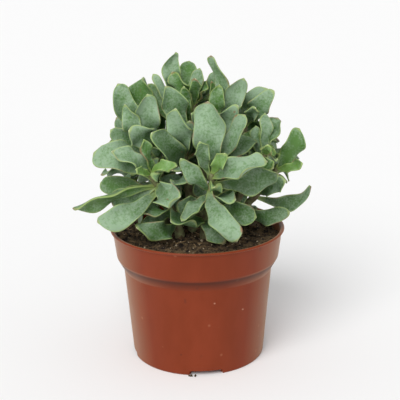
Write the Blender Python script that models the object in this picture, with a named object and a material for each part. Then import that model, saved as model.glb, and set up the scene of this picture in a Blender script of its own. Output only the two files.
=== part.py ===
"""Potted ripple jade plant: a plastic nursery pot, its soil, and the leafy stems that stand in the soil.

Lengths are written in millimetres and turned to metres where a mesh is made. The pot stands on z = 0 with
its axis on z, and the plant's front looks along -Y. A leaf of the front is listed by the place of its tip in
the front view, so that view() can turn it into a point in space; the other leaves follow their stem's rule.
"""
import math
import random

import bmesh
import bpy
import numpy as np
from mathutils import Matrix, Vector
from mathutils.bvhtree import BVHTree

MM = 0.001
GAP = 0.35

# Linear colours
TERRACOTTA = (0.26, 0.05, 0.02)
WET_SOIL = (0.03, 0.022, 0.016)
JADE_GREEN = (0.2, 0.32, 0.18)

# The pot
POT_HEIGHT = 91.5
RIM_RADIUS = 60.0
LIP_HEIGHT = 1.6
COLLAR_TOP_RADIUS = 58.4
COLLAR_BOTTOM_RADIUS = 56.0
COLLAR_BOTTOM = 70.9
SHOULDER_BOTTOM = 63.6
BODY_TOP_RADIUS = 51.4
FOOT_RADIUS = 46.0
WALL = 1.5
FOOT_WIDTH = 2.4
FLOOR_UNDERSIDE = 3.2
FLOOR_THICKNESS = 1.8
POT_SIDES = 36
NOTCH_COUNT = 4
NOTCH_FIRST = math.radians(-83.5)
NOTCH_WIDTH = 22.5
NOTCH_HEIGHT = 3.3
NOTCH_CORNER = 1.2
DRAIN_COUNT = 8
DRAIN_RADIUS = 4.0
DRAIN_CIRCLE = 30.0

# The soil
SOIL_LEVEL = 85.0
MOUND_HEIGHT = 1.2
MOUND_SPREAD = 30.0
SOIL_SIDES = 24
SOIL_RINGS = 4
HOLE_SIDES = 8
STEM_DEPTH = 20.0
HOLE_CLEARANCE = 0.7

# The front view
VIEW_CENTRE = Vector((2.0, 0.0, 109.4))
VIEW_RISE = math.radians(16.4)
VIEW_ROLL = math.radians(0.57)
VIEW_DISTANCE = 620.0
EYE = VIEW_CENTRE + VIEW_DISTANCE * Vector((0, -math.cos(VIEW_RISE), math.sin(VIEW_RISE)))

# Stems and leaves
STEM_SIDES = 6
STEM_RINGS = 7
STEM_FOOT_RADIUS = 4.2
STEM_TIP_RADIUS = 1.9
LEAF_SIDES = 4
FRONT_RINGS = 6
PAIR_RINGS = 5
TEST_SIDES = 4
TEST_RINGS = 6
LEAF_THICKNESS = 2.3
ROOT_CLEAR = 0.36
CLEARANCE = 0.7

# A blade's form: how far its cross-sections gather towards the tip, its breadth at the root, where along it is
# broadest and where it starts to taper, how full its end stays, how deep its margin is scalloped, how near the
# margin its ripples rise, and how much thinner its tip is
TIP_GATHER = 1.35
ROOT_BREADTH = 0.2
BROADEST_AT = 0.72
TAPER_FROM = 0.7
FULLNESS = 2.2
SCALLOP = 0.1
RIPPLE_RISE = 1.9
TIP_THINNING = 0.35
# What a leaf tries in turn until it crosses nothing: a front leaf is rolled (degrees), moved along the line of
# sight (mm) and shortened; a leaf of a pair is shortened, leant and swung round its stem (radians)
ROLLS = (0, 14, -14, 28, -28)
DEPTH_SHIFTS = (0, 3, -3, 6, -6, 9, -9, 12, -12, 15, -15, 18)
FRONT_LENGTHS = (1.0, 0.96, 0.9, 0.82, 0.72)
PAIR_LENGTHS = (1.0, 0.85, 0.7)
LEANS = (0, 0.12, -0.12, 0.25, -0.25, 0.38, -0.38, 0.5, -0.5)
SWINGS = (0, 0.25, -0.25, 0.5, -0.5, 0.75, -0.75)
# A leaf of a pair leans this far from a stem's foot part and this much less at its tip (degrees); it is shorter
# and narrower towards the stem's tip by these shares, and this broad for the longest blade's length
PAIR_TILT = 70
PAIR_TILT_LOSS = 42
PAIR_LENGTH_LOSS = 0.62
PAIR_WIDTH_LOSS = 0.4
PAIR_BREADTH = 0.46

# Each stem's run: points that it passes through, from the foot of its buried part to its growing tip
STEMS = {
    "stem_front": [(5, -9, 88), (7, -15, 105), (9, -22, 120), (9.5, -27, 131), (10, -31, 137)],
    "stem_left": [(-12, -9, 88), (-16, -13, 104), (-23, -18, 119), (-28, -23, 130), (-30, -27, 136)],
    "stem_left_top": [(-14, 4, 88), (-19, 2, 108), (-25, -2, 130), (-29, -5, 146), (-31, -6, 155)],
    "stem_top": [(-3, 3, 88), (-5, 1, 112), (-8, -1, 134), (-6, 0, 156), (-2, 2, 172), (0, 3, 181)],
    "stem_top_right": [(7, 5, 88), (10, 3, 115), (13, 3, 140), (13, 5, 158), (12, 7, 170)],
    "stem_right": [(15, -1, 88), (24, -4, 106), (35, -8, 124), (43, -11, 138), (46, -12, 145)],
    "stem_far_right": [(18, 8, 88), (30, 6, 100), (43, 4, 114), (52, 1, 127), (55, 0, 133)],
    "stem_back_right": [(12, 17, 88), (20, 17, 112), (28, 15, 138), (33, 14, 156), (35, 14, 163)],
    "stem_back_left": [(-13, 17, 88), (-18, 21, 110), (-24, 27, 138), (-28, 30, 163)],
    "stem_back": [(0, 22, 88), (3, 29, 108), (6, 38, 132), (8, 43, 152)],
    "stem_back_top": [(3, 12, 88), (4, 17, 118), (5, 22, 148), (4, 25, 173)],
    "stem_back_far_left": [(-22, 10, 88), (-36, 17, 104), (-48, 23, 124), (-53, 26, 140)],
    "stem_back_far_right": [(14, 26, 88), (27, 33, 106), (39, 38, 124), (44, 40, 141)],
    "stem_back_low": [(-9, 30, 88), (-13, 38, 100), (-17, 45, 113), (-19, 48, 122)],
}

# Front leaves: root height on the stem, the tip's place in the front view (right, up), the tip's depth
# behind the pot's axis, the blade's width, how it is rolled and twisted (degrees), how far its midline is
# arched, and how far it bows to the side at a third and two thirds of its length (anticlockwise, mm)
FRONT_LEAVES = {
    "stem_front": [
        (130, 5, 66.5, -24, 21.5, -12, 8, 2, -1.5, -1),
        (126, 24, -27, -50, 16, 10, 20, 3, -4, -2),
        (133, 42, 28.5, -42, 15.5, -30, 20, 3, -3, -3),
        (133, 30, 58, -24, 13, -15, 45, -2, 2, -1),
        (132, 39, 42, -18, 15, 20, 10, 1, 3, 5),
        (128, 53, 20, -28, 17, 25, 10, 2, -2, -2),
        (134, 0, 39, -42, 10, -15, 20, -2, 2, 1),
        (122, -12, 24, -38, 11.5, -25, 10, 2, -1, -1),
        (136, 15, 29, -34, 9, 0, 0, -1, 0, 0),
        (136, 20, 27, -39, 8, 20, 0, -1, 0, 0),
        (120, -12, -11, -42, 9, 30, 0, 2, 1, 1),
        (114, -15, -7, -26, 14, 0, 0, 2, 0, 0),
        (100, 12.5, -27, -32, 14, 0, 10, 2, 1, 1),
        (106, 38, -12, -24, 15, 10, 0, 2, 2, 3),
    ],
    "stem_left": [
        (130, -71, 35, -22, 21, 15, 20, 2, -3, -2),
        (132, -57, 34, -34, 12, 30, 20, 1, -2, -1),
        (126, -10.5, 1, -50, 17.5, 5, 5, 2, -2, -2),
        (122, -70, -14.5, -34, 16, 18, 20, 2, 4, 6),
        (126, -58, -3, -16, 17, 0, 0, 2, 0, 0),
        (125, -87, -5, -24, 12, -25, 30, 1, -5, -2.5),
        (120, -66, 12, 2, 15, -10, 0, 2, 0, 0),
        (132, -38, 41, -28, 8, 40, 10, 0, 0, 1),
        (134, -15, 23, -40, 8, -20, 20, 3, 3, 2),
        (134, -43, 21, -36, 6, 20, 0, -1, 0, 0),
        (98, -37, -18, -38, 13, 0, 10, 1, 5, 5),
        (104, -39, -16, -20, 8, 0, 0, 1, 0, 0),
    ],
    "stem_left_top": [
        (150, -55.5, 79.5, -2, 15.5, 10, 10, 2, 3, 4),
        (152, -35, 83.5, 4, 19, -15, 10, 2, 2, 2),
        (148, -36, 71, -16, 16, 0, 10, 2, 1, 1),
        (146, -48, 47, -24, 17, 20, 10, 2, -1, -2),
        (148, -52, 62, -8, 12, 0, 10, 2, 0, 0),
        (147, -51, 56, -16, 9, 30, 0, 2, 0, 0),
        (144, -57, 56, -2, 12, 0, 0, 2, 0, 0),
        (140, -61, 48, -6, 13, 10, 0, 2, 0, 0),
        (138, -58, 41, 2, 14, -10, 0, 2, 0, 0),
    ],
    "stem_top": [
        (132, -33, 45.5, -32, 17, 5, 10, 2, 0, 0),
        (140, -17, 59, -24, 18, 0, 15, 2, 0, -1),
        (146, -7, 50, -24, 9, 25, 10, 1, 0, 0),
        (148, -1, 51, -16, 6, 20, 0, 1, 0, 0),
        (152, -23, 76.5, -14, 16.5, 5, 10, 2, 1, 0),
        (160, -11, 78, -8, 8, 0, 0, 1, 0, 0),
        (156, -34.5, 80, -6, 9, 15, 0, 1, 3, 4),
        (160, -30, 87, 4, 8, 0, 0, 1, 2, 3),
        (166, -15.5, 101, 6, 12, 10, 10, -2, 4, 7.5),
        (168, -20, 85, -6, 12, -20, 30, 2, -3, -4),
        (170, -7.5, 97, 18, 12, 0, 10, 2, 1, 1),
        (172, -1, 90, 6, 10, -15, 10, 2, 0, 0),
        (174, -3, 83, -6, 8, 20, 0, -1, 0, 0),
        (174, 4, 82, -2, 9, -20, 0, -1, 0, 0),
    ],
    "stem_top_right": [
        (160, 29, 82, -2, 14, 0, 20, 1, -1, -1),
        (160, 13, 76, -4, 11, 15, 0, 1, 1, 1),
        (165, 8, 81, 4, 6, 0, 0, 0, 0, 0),
        (165, 10, 88, 8, 12, 10, 10, 1, 0, 0),
        (158, 8, 98.5, 14, 10, -30, 30, 1, -9, -7),
        (156, -7, 60, -12, 10, 0, 0, 1, 0, 0),
        (152, 25, 63, -14, 13, 0, 0, 2, 1, 1),
    ],
    "stem_back_right": [
        (158, 45, 75, 6, 19, -10, 10, 2, 1, 1),
        (160, 47, 71, -2, 14, 10, 10, 2, 0, 0),
        (160, 39, 65, -6, 9, 0, 0, 1, 0, 0),
    ],
    "stem_back": [
        (112, -6, 37, 12, 20, 0, 10, 2, 0, 0),
        (102, -14, 6, 10, 18, 0, 10, 2, 0, 0),
    ],
    "stem_back_top": [
        (158, -25, 62, 12, 18, 0, 10, 2, 0, 0),
        (164, 4, 70, 14, 16, 0, 10, 2, 0, 0),
    ],
    "stem_back_far_right": [
        (138, 28, 63, 22, 17, 0, 10, 2, 0, 0),
    ],
    "stem_right": [
        (140, 45, 59, -8, 9, 20, 10, 1, 0, 0),
        (138, 37, 60, -1, 9, 0, 10, 1, 0, 0),
        (140, 53, 56, -4, 13, 0, 10, 2, 0, -1),
        (138, 30, 47, -14, 12, 10, 10, 2, -3, -4),
        (144, 46, 36, -20, 8, 0, 0, -1, 0, 0),
        (144, 50, 34, -18, 8, 0, 0, -1, 0, 0),
        (138, 52, 21, -26, 10, 0, 0, 2, 0, 0),
    ],
    "stem_far_right": [
        (128, 69.5, 45.5, -4, 15, 25, 20, -1, -1, -1),
        (131, 70.5, 25, -16, 8, -20, 0, -1, -1, -1),
        (114, 58, 12.5, -20, 15, 0, 10, 2, 0, 2),
        (110, 77, 8, 10, 12, 15, 15, -2, -6, -8),
        (100, 59, -8, -14, 12, 0, 0, 1, -3, -4),
    ],
}

# Leaves by rule, in pairs that turn a quarter from each to the next: the root heights of the first and the
# last pair, the number of pairs, the first pair's bearing (degrees from +X) and the longest blade
PAIRS = {
    "stem_front": (98, 124, 4, 40, 36),
    "stem_left": (96, 126, 4, 60, 38),
    "stem_left_top": (98, 152, 7, 110, 42),
    "stem_top": (104, 178, 9, 70, 40),
    "stem_top_right": (100, 168, 8, 50, 40),
    "stem_right": (98, 142, 5, 80, 38),
    "stem_far_right": (98, 131, 4, 60, 40),
    "stem_back_right": (100, 161, 7, 30, 42),
    "stem_back_left": (98, 161, 8, 20, 46),
    "stem_back": (98, 150, 7, 60, 46),
    "stem_back_top": (106, 171, 8, 80, 42),
    "stem_back_far_left": (96, 138, 6, 40, 44),
    "stem_back_far_right": (96, 139, 6, 70, 44),
    "stem_back_low": (94, 120, 4, 10, 40),
}
# The plant's outline in the front view, (right, up), which the leaves placed by rule stay inside
FRONT_OUTLINE = [
    (-60, -11), (-69, -6), (-67, 8), (-71, 26), (-70, 36), (-61, 41), (-60, 49), (-54, 60), (-59, 75),
    (-50, 79), (-31, 86), (-22, 99), (-15, 99), (-3, 94), (3, 85), (7, 96), (20, 82), (30, 82), (30, 72),
    (46, 75), (51, 66), (58, 53), (54, 39), (70, 43), (71, 26), (62, 13), (53, 2), (41, 2), (38, -16),
    (8, -24), (-26, -24), (-50, -16),
]
SEED = 11
REACH = Vector((80.0, 60.0, 112.0))
REACH_CENTRE = Vector((0.0, 0.0, 92.0))


def clear_scene():
    for obj in list(bpy.data.objects):
        bpy.data.objects.remove(obj)


def principled(name, color, roughness, subsurface=0.0):
    material = bpy.data.materials.new(name)
    material.use_nodes = True
    shader = material.node_tree.nodes["Principled BSDF"]
    shader.inputs["Base Color"].default_value = (*color, 1.0)
    shader.inputs["Roughness"].default_value = roughness
    shader.inputs["Subsurface Weight"].default_value = subsurface
    return material


def object_of(bm, name, material=None):
    """Links the bmesh as an object of this name; the bmesh is in millimetres and the object in metres."""
    bmesh.ops.scale(bm, vec=(MM, MM, MM), verts=bm.verts)
    mesh = bpy.data.meshes.new(name)
    bm.to_mesh(mesh)
    bm.free()
    obj = bpy.data.objects.new(name, mesh)
    bpy.context.collection.objects.link(obj)
    if material:
        mesh.materials.append(material)
    return obj


def apply_modifiers(obj):
    graph = bpy.context.evaluated_depsgraph_get()
    mesh = bpy.data.meshes.new_from_object(obj.evaluated_get(graph))
    obj.modifiers.clear()
    obj.data = mesh


def join(obj, collection, operation, solver):
    """One Boolean of the object with everything in the collection, applied; the collection's objects go."""
    modifier = obj.modifiers.new(operation.lower(), "BOOLEAN")
    modifier.operation = operation
    modifier.operand_type = "COLLECTION"
    modifier.collection = collection
    modifier.solver = solver
    apply_modifiers(obj)
    for piece in list(collection.objects):
        bpy.data.objects.remove(piece)
    bpy.data.collections.remove(collection)


def collection_of(name, objects):
    collection = bpy.data.collections.new(name)
    bpy.context.scene.collection.children.link(collection)
    for obj in objects:
        bpy.context.collection.objects.unlink(obj)
        collection.objects.link(obj)
    return collection


def shade_round(obj):
    """Smooth shading with the sharp edges kept."""
    obj.data.shade_smooth()
    obj.data.set_sharp_from_angle(angle=math.radians(32))


def turned(profile, sides):
    """A closed body turned about z from a closed profile of (radius, height) points."""
    bm = bmesh.new()
    points = [bm.verts.new((radius, 0, height)) for radius, height in profile]
    edges = [bm.edges.new((a, b)) for a, b in zip(points, points[1:] + points[:1])]
    bmesh.ops.spin(bm, geom=points + edges, cent=(0, 0, 0), axis=(0, 0, 1),
                   angle=math.tau, steps=sides, use_merge=True)
    bmesh.ops.remove_doubles(bm, verts=bm.verts, dist=0.001)
    bmesh.ops.recalc_face_normals(bm, faces=bm.faces)
    return bm


def inner_wall():
    """The inside of the pot's wall as (radius, height) points, from the floor up."""
    return [
        (FOOT_RADIUS - WALL - 0.2, FLOOR_UNDERSIDE + FLOOR_THICKNESS),
        (BODY_TOP_RADIUS - WALL, SHOULDER_BOTTOM - 0.3),
        (COLLAR_BOTTOM_RADIUS - WALL - 0.3, COLLAR_BOTTOM - 0.2),
        (COLLAR_TOP_RADIUS - WALL, POT_HEIGHT - LIP_HEIGHT),
        (RIM_RADIUS - WALL - 0.6, POT_HEIGHT - 0.3),
    ]


def wall_inside(height):
    """The radius of the pot's inner wall at this height."""
    radii, heights = zip(*inner_wall())
    return np.interp(height, heights, radii)


def soil_height(x, y):
    """The uneven top of the soil: a low mound with clods."""
    mound = MOUND_HEIGHT * np.exp(-(x * x + y * y) / MOUND_SPREAD ** 2)
    clods = 0.9 * np.sin(0.23 * x + 1.3) * np.cos(0.19 * y) + 0.7 * np.sin(0.41 * y + 0.33 * x + 2)
    return SOIL_LEVEL + mound + clods


def pot_profile():
    """The pot wall as one closed outline: down the outside, round the foot, and up the inside."""
    lip_bottom = POT_HEIGHT - LIP_HEIGHT
    return [
        (RIM_RADIUS - 0.7, POT_HEIGHT), (RIM_RADIUS, POT_HEIGHT - 0.5), (RIM_RADIUS, lip_bottom + 0.3),
        (COLLAR_TOP_RADIUS, lip_bottom - 0.2),
        (COLLAR_BOTTOM_RADIUS + 0.1, COLLAR_BOTTOM + 0.9), (COLLAR_BOTTOM_RADIUS - 0.5, COLLAR_BOTTOM - 0.3),
        (BODY_TOP_RADIUS + 0.5, SHOULDER_BOTTOM + 0.5), (BODY_TOP_RADIUS, SHOULDER_BOTTOM - 0.6),
        (FOOT_RADIUS + 0.1, 1.0), (FOOT_RADIUS - 0.3, 0.0), (FOOT_RADIUS - FOOT_WIDTH, 0.0),
        (FOOT_RADIUS - FOOT_WIDTH, FLOOR_UNDERSIDE), (0.0, FLOOR_UNDERSIDE),
        (0.0, FLOOR_UNDERSIDE + FLOOR_THICKNESS),
    ] + inner_wall()


def rod(radius, low, high, x, y, sides):
    """An upright closed cylinder."""
    bm = bmesh.new()
    bmesh.ops.create_cone(bm, cap_ends=True, segments=sides, radius1=radius, radius2=radius,
                          depth=high - low, matrix=Matrix.Translation((x, y, (low + high) / 2)))
    return bm


def notch_cutter(angle):
    """A low block across the foot ring."""
    bm = bmesh.new()
    place = Matrix.Rotation(angle, 4, "Z") @ Matrix.Translation((FOOT_RADIUS, 0, 0))
    size = Matrix.Diagonal((3 * FOOT_WIDTH, NOTCH_WIDTH, 2 * NOTCH_HEIGHT, 1))
    bmesh.ops.create_cube(bm, size=1, matrix=place @ size)
    upper = [e for e in bm.edges if abs(sum(v.co.z for v in e.verts) - 2 * NOTCH_HEIGHT) < 0.01
             and abs((e.verts[0].co - e.verts[1].co).length - 3 * FOOT_WIDTH) < 0.01]
    bmesh.ops.bevel(bm, geom=upper, offset=NOTCH_CORNER, segments=2, profile=0.5, affect="EDGES", material=-1)
    return bm


def make_pot():
    plastic = principled("pot_plastic", TERRACOTTA, 0.45)
    pot = object_of(turned(pot_profile(), POT_SIDES), "pot", plastic)
    cutters = []
    for k in range(NOTCH_COUNT):
        cutters.append(object_of(notch_cutter(NOTCH_FIRST + k * math.tau / NOTCH_COUNT), f"notch_{k}"))
    for k in range(DRAIN_COUNT):
        angle = (k + 0.5) * math.tau / DRAIN_COUNT
        x, y = DRAIN_CIRCLE * math.cos(angle), DRAIN_CIRCLE * math.sin(angle)
        cutters.append(object_of(rod(DRAIN_RADIUS, -1, FLOOR_UNDERSIDE + 4, x, y, 10), f"drain_{k}"))
    join(pot, collection_of("pot_cutters", cutters), "DIFFERENCE", "EXACT")
    shade_round(pot)
    return pot


def make_soil():
    """Potting soil: a turned body whose top rings follow the soil's height, with a hole for each stem."""
    edge = wall_inside(SOIL_LEVEL) - GAP
    top = [(edge * k / SOIL_RINGS, SOIL_LEVEL) for k in range(SOIL_RINGS)]
    side = [(edge, SOIL_LEVEL), (wall_inside(COLLAR_BOTTOM + 0.1) - GAP, COLLAR_BOTTOM + 0.3),
            (BODY_TOP_RADIUS - WALL - GAP - 0.2, SHOULDER_BOTTOM - 0.6),
            (FOOT_RADIUS - WALL - GAP - 0.4, FLOOR_UNDERSIDE + FLOOR_THICKNESS + GAP)]
    bottom = [(0.0, FLOOR_UNDERSIDE + FLOOR_THICKNESS + GAP)]
    bm = turned(top + side + bottom, SOIL_SIDES)
    for v in bm.verts:
        if v.co.z > SOIL_LEVEL - 0.01:
            v.co.z = soil_height(v.co.x, v.co.y)
    soil = object_of(bm, "soil", principled("potting_soil", WET_SOIL, 0.95))
    holes = []
    for name, run in STEMS.items():
        x, y, _ = run[0]
        low, high = SOIL_LEVEL - STEM_DEPTH - 1, SOIL_LEVEL + 9
        bore = rod(STEM_FOOT_RADIUS + HOLE_CLEARANCE, low, high, x, y, HOLE_SIDES)
        holes.append(object_of(bore, f"hole_{name}"))
    join(soil, collection_of("soil_holes", holes), "DIFFERENCE", "EXACT")
    return soil


def view(right, up, depth):
    """The point at this depth behind the pot's axis that the front view shows at (right, up)."""
    across = right * math.cos(VIEW_ROLL) + up * math.sin(VIEW_ROLL)
    rise = up * math.cos(VIEW_ROLL) - right * math.sin(VIEW_ROLL)
    aim = VIEW_CENTRE + Vector((across, rise * math.sin(VIEW_RISE), rise * math.cos(VIEW_RISE)))
    return EYE + (aim - EYE) * ((depth - EYE.y) / (aim.y - EYE.y))


def place_in_view(point):
    """The (right, up) at which the front view shows a point: the reverse of view()."""
    ray = Vector(point) - EYE
    ahead = (VIEW_CENTRE - EYE).normalized()
    ray *= VIEW_DISTANCE / ray.dot(ahead)
    rise = ray.dot(Vector((0, math.sin(VIEW_RISE), math.cos(VIEW_RISE))))
    return (ray.x * math.cos(VIEW_ROLL) - rise * math.sin(VIEW_ROLL),
            rise * math.cos(VIEW_ROLL) + ray.x * math.sin(VIEW_ROLL))


def inside_outline(place):
    """Whether a place in the front view lies inside the plant's outline there."""
    x, y = place
    inside = False
    for (ax, ay), (bx, by) in zip(FRONT_OUTLINE, FRONT_OUTLINE[1:] + FRONT_OUTLINE[:1]):
        if (ay > y) != (by > y) and x < ax + (bx - ax) * (y - ay) / (by - ay):
            inside = not inside
    return inside


def run_points(name):
    """A stem's run as a smooth curve through its points, from the foot of its buried part."""
    x, y, _ = STEMS[name][0]
    knots = [Vector((x, y, SOIL_LEVEL - STEM_DEPTH))] + [Vector(p) for p in STEMS[name]]
    ends = [2 * knots[0] - knots[1]] + knots + [2 * knots[-1] - knots[-2]]
    points = []
    for k in range(1, len(ends) - 2):
        before, start, end, after = ends[k - 1:k + 3]
        for step in range(8):
            t = step / 8
            bend = 2 * before - 5 * start + 4 * end - after
            turn = 3 * start - before - 3 * end + after
            points.append(0.5 * (2 * start + (end - before) * t + bend * t * t + turn * t ** 3))
    return points + [knots[-1]]


def at_share(points, share):
    """The point and the direction at this share (0 to 1) of a run's length."""
    lengths = [0.0]
    for a, b in zip(points, points[1:]):
        lengths.append(lengths[-1] + (b - a).length)
    want = share * lengths[-1]
    k = min(max(sum(length <= want for length in lengths) - 1, 0), len(points) - 2)
    t = (want - lengths[k]) / (lengths[k + 1] - lengths[k])
    return points[k].lerp(points[k + 1], t), (points[k + 1] - points[k]).normalized()


def at_height(points, height):
    """The point and the direction where a run passes this height."""
    for a, b in zip(points, points[1:]):
        if b.z >= height:
            return a.lerp(b, max((height - a.z) / (b.z - a.z), 0.0)), (b - a).normalized()
    return points[-1], (points[-1] - points[-2]).normalized()


def sphere_pattern(verts):
    """Each point of a unit sphere as its place from pole to pole (0 to 1) and the cosine and sine of its place
    around it, both 0 at a pole."""
    places = np.array([v.co for v in verts])
    along = np.arccos(np.clip(places[:, 2], -1, 1)) / math.pi
    flat = np.hypot(places[:, 0], places[:, 1])
    flat[flat < 1e-4] = 1e9
    return along, places[:, 0] / flat, places[:, 1] / flat


def template(around, rings):
    """A sphere as a flat pattern, with its triangles split alike on the +sine and -sine sides."""
    bm = bmesh.new()
    bmesh.ops.create_uvsphere(bm, u_segments=around, v_segments=rings + 1, radius=1)
    bm.verts.ensure_lookup_table()
    along, cosine, sine = sphere_pattern(bm.verts)
    triangles = []
    for face in bm.faces:
        corners = [v.index for v in face.verts]
        if len(corners) == 4:
            order = [(round(along[c], 4), round(-abs(cosine[c]), 4), k) for k, c in enumerate(corners)]
            first = min(order)[2]
            corners = corners[first:] + corners[:first]
            triangles += [(corners[0], corners[1], corners[2]), (corners[0], corners[2], corners[3])]
        else:
            triangles.append(tuple(corners))
    bm.free()
    return along, cosine, sine, np.array(triangles)


def smooth(low, high, x):
    t = np.clip((x - low) / (high - low), 0, 1)
    return t * t * (3 - 2 * t)


def spread(along):
    """Draws the rings together towards the tip."""
    return 1 - (1 - along) ** TIP_GATHER


def outline(leaf, u):
    """Half the blade's breadth as a share of its greatest: narrow at the root, widest well past the middle, and
    blunt or drawn to a point at the tip."""
    end = np.clip((u - TAPER_FROM) / (1 - TAPER_FROM), 0, 1)
    grown = ROOT_BREADTH + (1 - ROOT_BREADTH) * smooth(-0.06, BROADEST_AT, u)
    return grown * np.clip(1 - end ** FULLNESS, 0, 1) ** leaf["point"]


def blade(leaf, along, across, over, margin=0.0):
    """Points of a leaf in millimetres. along runs 0 to 1 from root to tip, across -1 to 1 over the width and
    over -1 to 1 through the thickness. The blade's midline is arched, bows to the side and curls at the tip;
    its sides rise into a shallow channel and ripple out of step; and the whole blade twists along its length.
    margin makes it larger all round."""
    u = spread(along)
    wave_at = math.tau * (leaf["waves"] * u + leaf["phase"] + np.where(across > 0, leaf["lag"], 0))
    grown = smooth(0.15, 0.5, u)
    breadth = outline(leaf, u)
    half = leaf["width"] / 2 * breadth * (1 + SCALLOP * np.cos(wave_at) * grown) + margin
    thinned = (0.8 + 0.2 * smooth(0, 0.4, u)) * (1 - TIP_THINNING * smooth(0.7, 1, u))
    thick = LEAF_THICKNESS / 2 * thinned + margin
    side = across * half
    lift = leaf["ripple"] * np.abs(across) ** RIPPLE_RISE * np.sin(wave_at) * grown * np.sqrt(breadth)
    lift += leaf["fold"] * half * across ** 2 + over * thick
    turn = leaf["twist"] * (u - 0.4)
    y = side * np.cos(turn) - lift * np.sin(turn)
    z = side * np.sin(turn) + lift * np.cos(turn)
    z = z + leaf["arch"] * 4 * u * (1 - u) + leaf["curl"] * np.clip(2 * u - 1, 0, 1) ** 2
    y = y + 13.5 * u * (1 - u) * (leaf["bow_low"] * (2 / 3 - u) + leaf["bow_high"] * (u - 1 / 3))
    x = u * (leaf["length"] + margin * (2 * u - 1))
    return (np.outer(x, leaf["ahead"]) + np.outer(y, leaf["aside"]) + np.outer(z, leaf["faces"])
            + np.array(leaf["root"]))


def leaf_between(root, tip, looks_to, width, roll, look):
    """A leaf from its root to its tip. Its face looks in this direction as far as it can, then rolls."""
    ahead = (tip - root).normalized()
    faces = looks_to - ahead * looks_to.dot(ahead)
    if faces.length < 0.05:
        faces = Vector((0, 0, 1)) - ahead * ahead.z
    faces = Matrix.Rotation(roll, 3, ahead) @ faces.normalized()
    return dict(look, root=tuple(root), ahead=tuple(ahead), aside=tuple(faces.cross(ahead)),
                faces=tuple(faces), length=(tip - root).length, width=width)


def rippled(draw, width, twist, arch, bow_low, bow_high):
    """How one leaf is rippled: drawn anew for each, and stronger on a broad leaf."""
    return {
        "waves": draw.uniform(1.5, 2.3), "phase": draw.random(), "lag": draw.uniform(0.3, 0.7),
        "ripple": width * draw.uniform(0.18, 0.3), "fold": draw.uniform(0.2, 0.7),
        "twist": math.radians(twist) * draw.choice((-1, 1)), "arch": arch,
        "point": draw.uniform(0.4, 0.5), "curl": width * draw.uniform(-0.6, 0.3),
        "bow_low": bow_low, "bow_high": bow_high,
    }


class Clearing:
    """The leaves and stems placed so far, which each new leaf is kept clear of."""

    def __init__(self):
        self.placed = []
        self.pattern = template(TEST_SIDES, TEST_RINGS)
        self.blade_only = [t for t in self.pattern[3].tolist() if min(self.pattern[0][t]) > ROOT_CLEAR]

    def add(self, owner, points, triangles):
        tree = BVHTree.FromPolygons(points.tolist(), triangles, all_triangles=True)
        self.placed.append((owner, points.min(0), points.max(0), tree))

    def add_leaf(self, owner, leaf):
        self.add(owner, blade(leaf, *self.pattern[:3]), self.pattern[3].tolist())

    def listed_leaves(self, leaves):
        """One tree of all the leaves placed so far."""
        points, triangles = [], []
        for leaf in (leaf for group in leaves.values() for leaf in group):
            triangles += (self.pattern[3] + len(points)).tolist()
            points += blade(leaf, *self.pattern[:3]).tolist()
        return BVHTree.FromPolygons(points, triangles, all_triangles=True)

    def crossings(self, owner, leaf):
        """How many triangles cross a neighbour: of the whole leaf with room to spare on other nodes, and of
        the blade past its root on its own."""
        roomy = blade(leaf, *self.pattern[:3], margin=CLEARANCE)
        own = blade(leaf, *self.pattern[:3], margin=0.1)
        low, high = roomy.min(0), roomy.max(0)
        trees = {}
        count = [int(strikes_pot(leaf)), 0]
        for other, other_low, other_high, tree in self.placed:
            if (low > other_high).any() or (high < other_low).any():
                continue
            mine = other == owner
            if mine not in trees:
                points, triangles = (own, self.blade_only) if mine else (roomy, self.pattern[3].tolist())
                trees[mine] = BVHTree.FromPolygons(points.tolist(), triangles, all_triangles=True)
            count[mine] += len(trees[mine].overlap(tree))
        return count


def strikes_pot(leaf):
    """Whether a leaf's middle surface comes within its thickness of the pot's wall or the soil."""
    along, across = np.meshgrid(np.linspace(0.2, 1, 25), (-1.0, -0.5, 0.0, 0.5, 1.0))
    points = blade(leaf, along.ravel(), across.ravel(), np.zeros(along.size))
    out, height = np.hypot(points[:, 0], points[:, 1]), points[:, 2]
    near = CLEARANCE + LEAF_THICKNESS / 2
    in_wall = (height < POT_HEIGHT + near) & (out > wall_inside(height) - near) & (out < RIM_RADIUS + near)
    in_soil = (height < soil_height(points[:, 0], points[:, 1]) + near) & (out < RIM_RADIUS)
    return (in_wall | in_soil).any()


def front_tries(entry, points, look):
    """A front leaf as listed, and then rolled, with its tip moved along the line of sight, and shortened."""
    height, right, up, depth, width, roll = entry[:6]
    root, _ = at_height(points, height)
    to_viewer = (EYE - root).normalized()
    for length in FRONT_LENGTHS:
        for shift in DEPTH_SHIFTS:
            tip = view(right, up, depth + shift)
            for turn in ROLLS:
                yield leaf_between(root, root + (tip - root) * length, to_viewer, width * (0.4 + 0.6 * length),
                                   math.radians(roll + turn), look)


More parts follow.
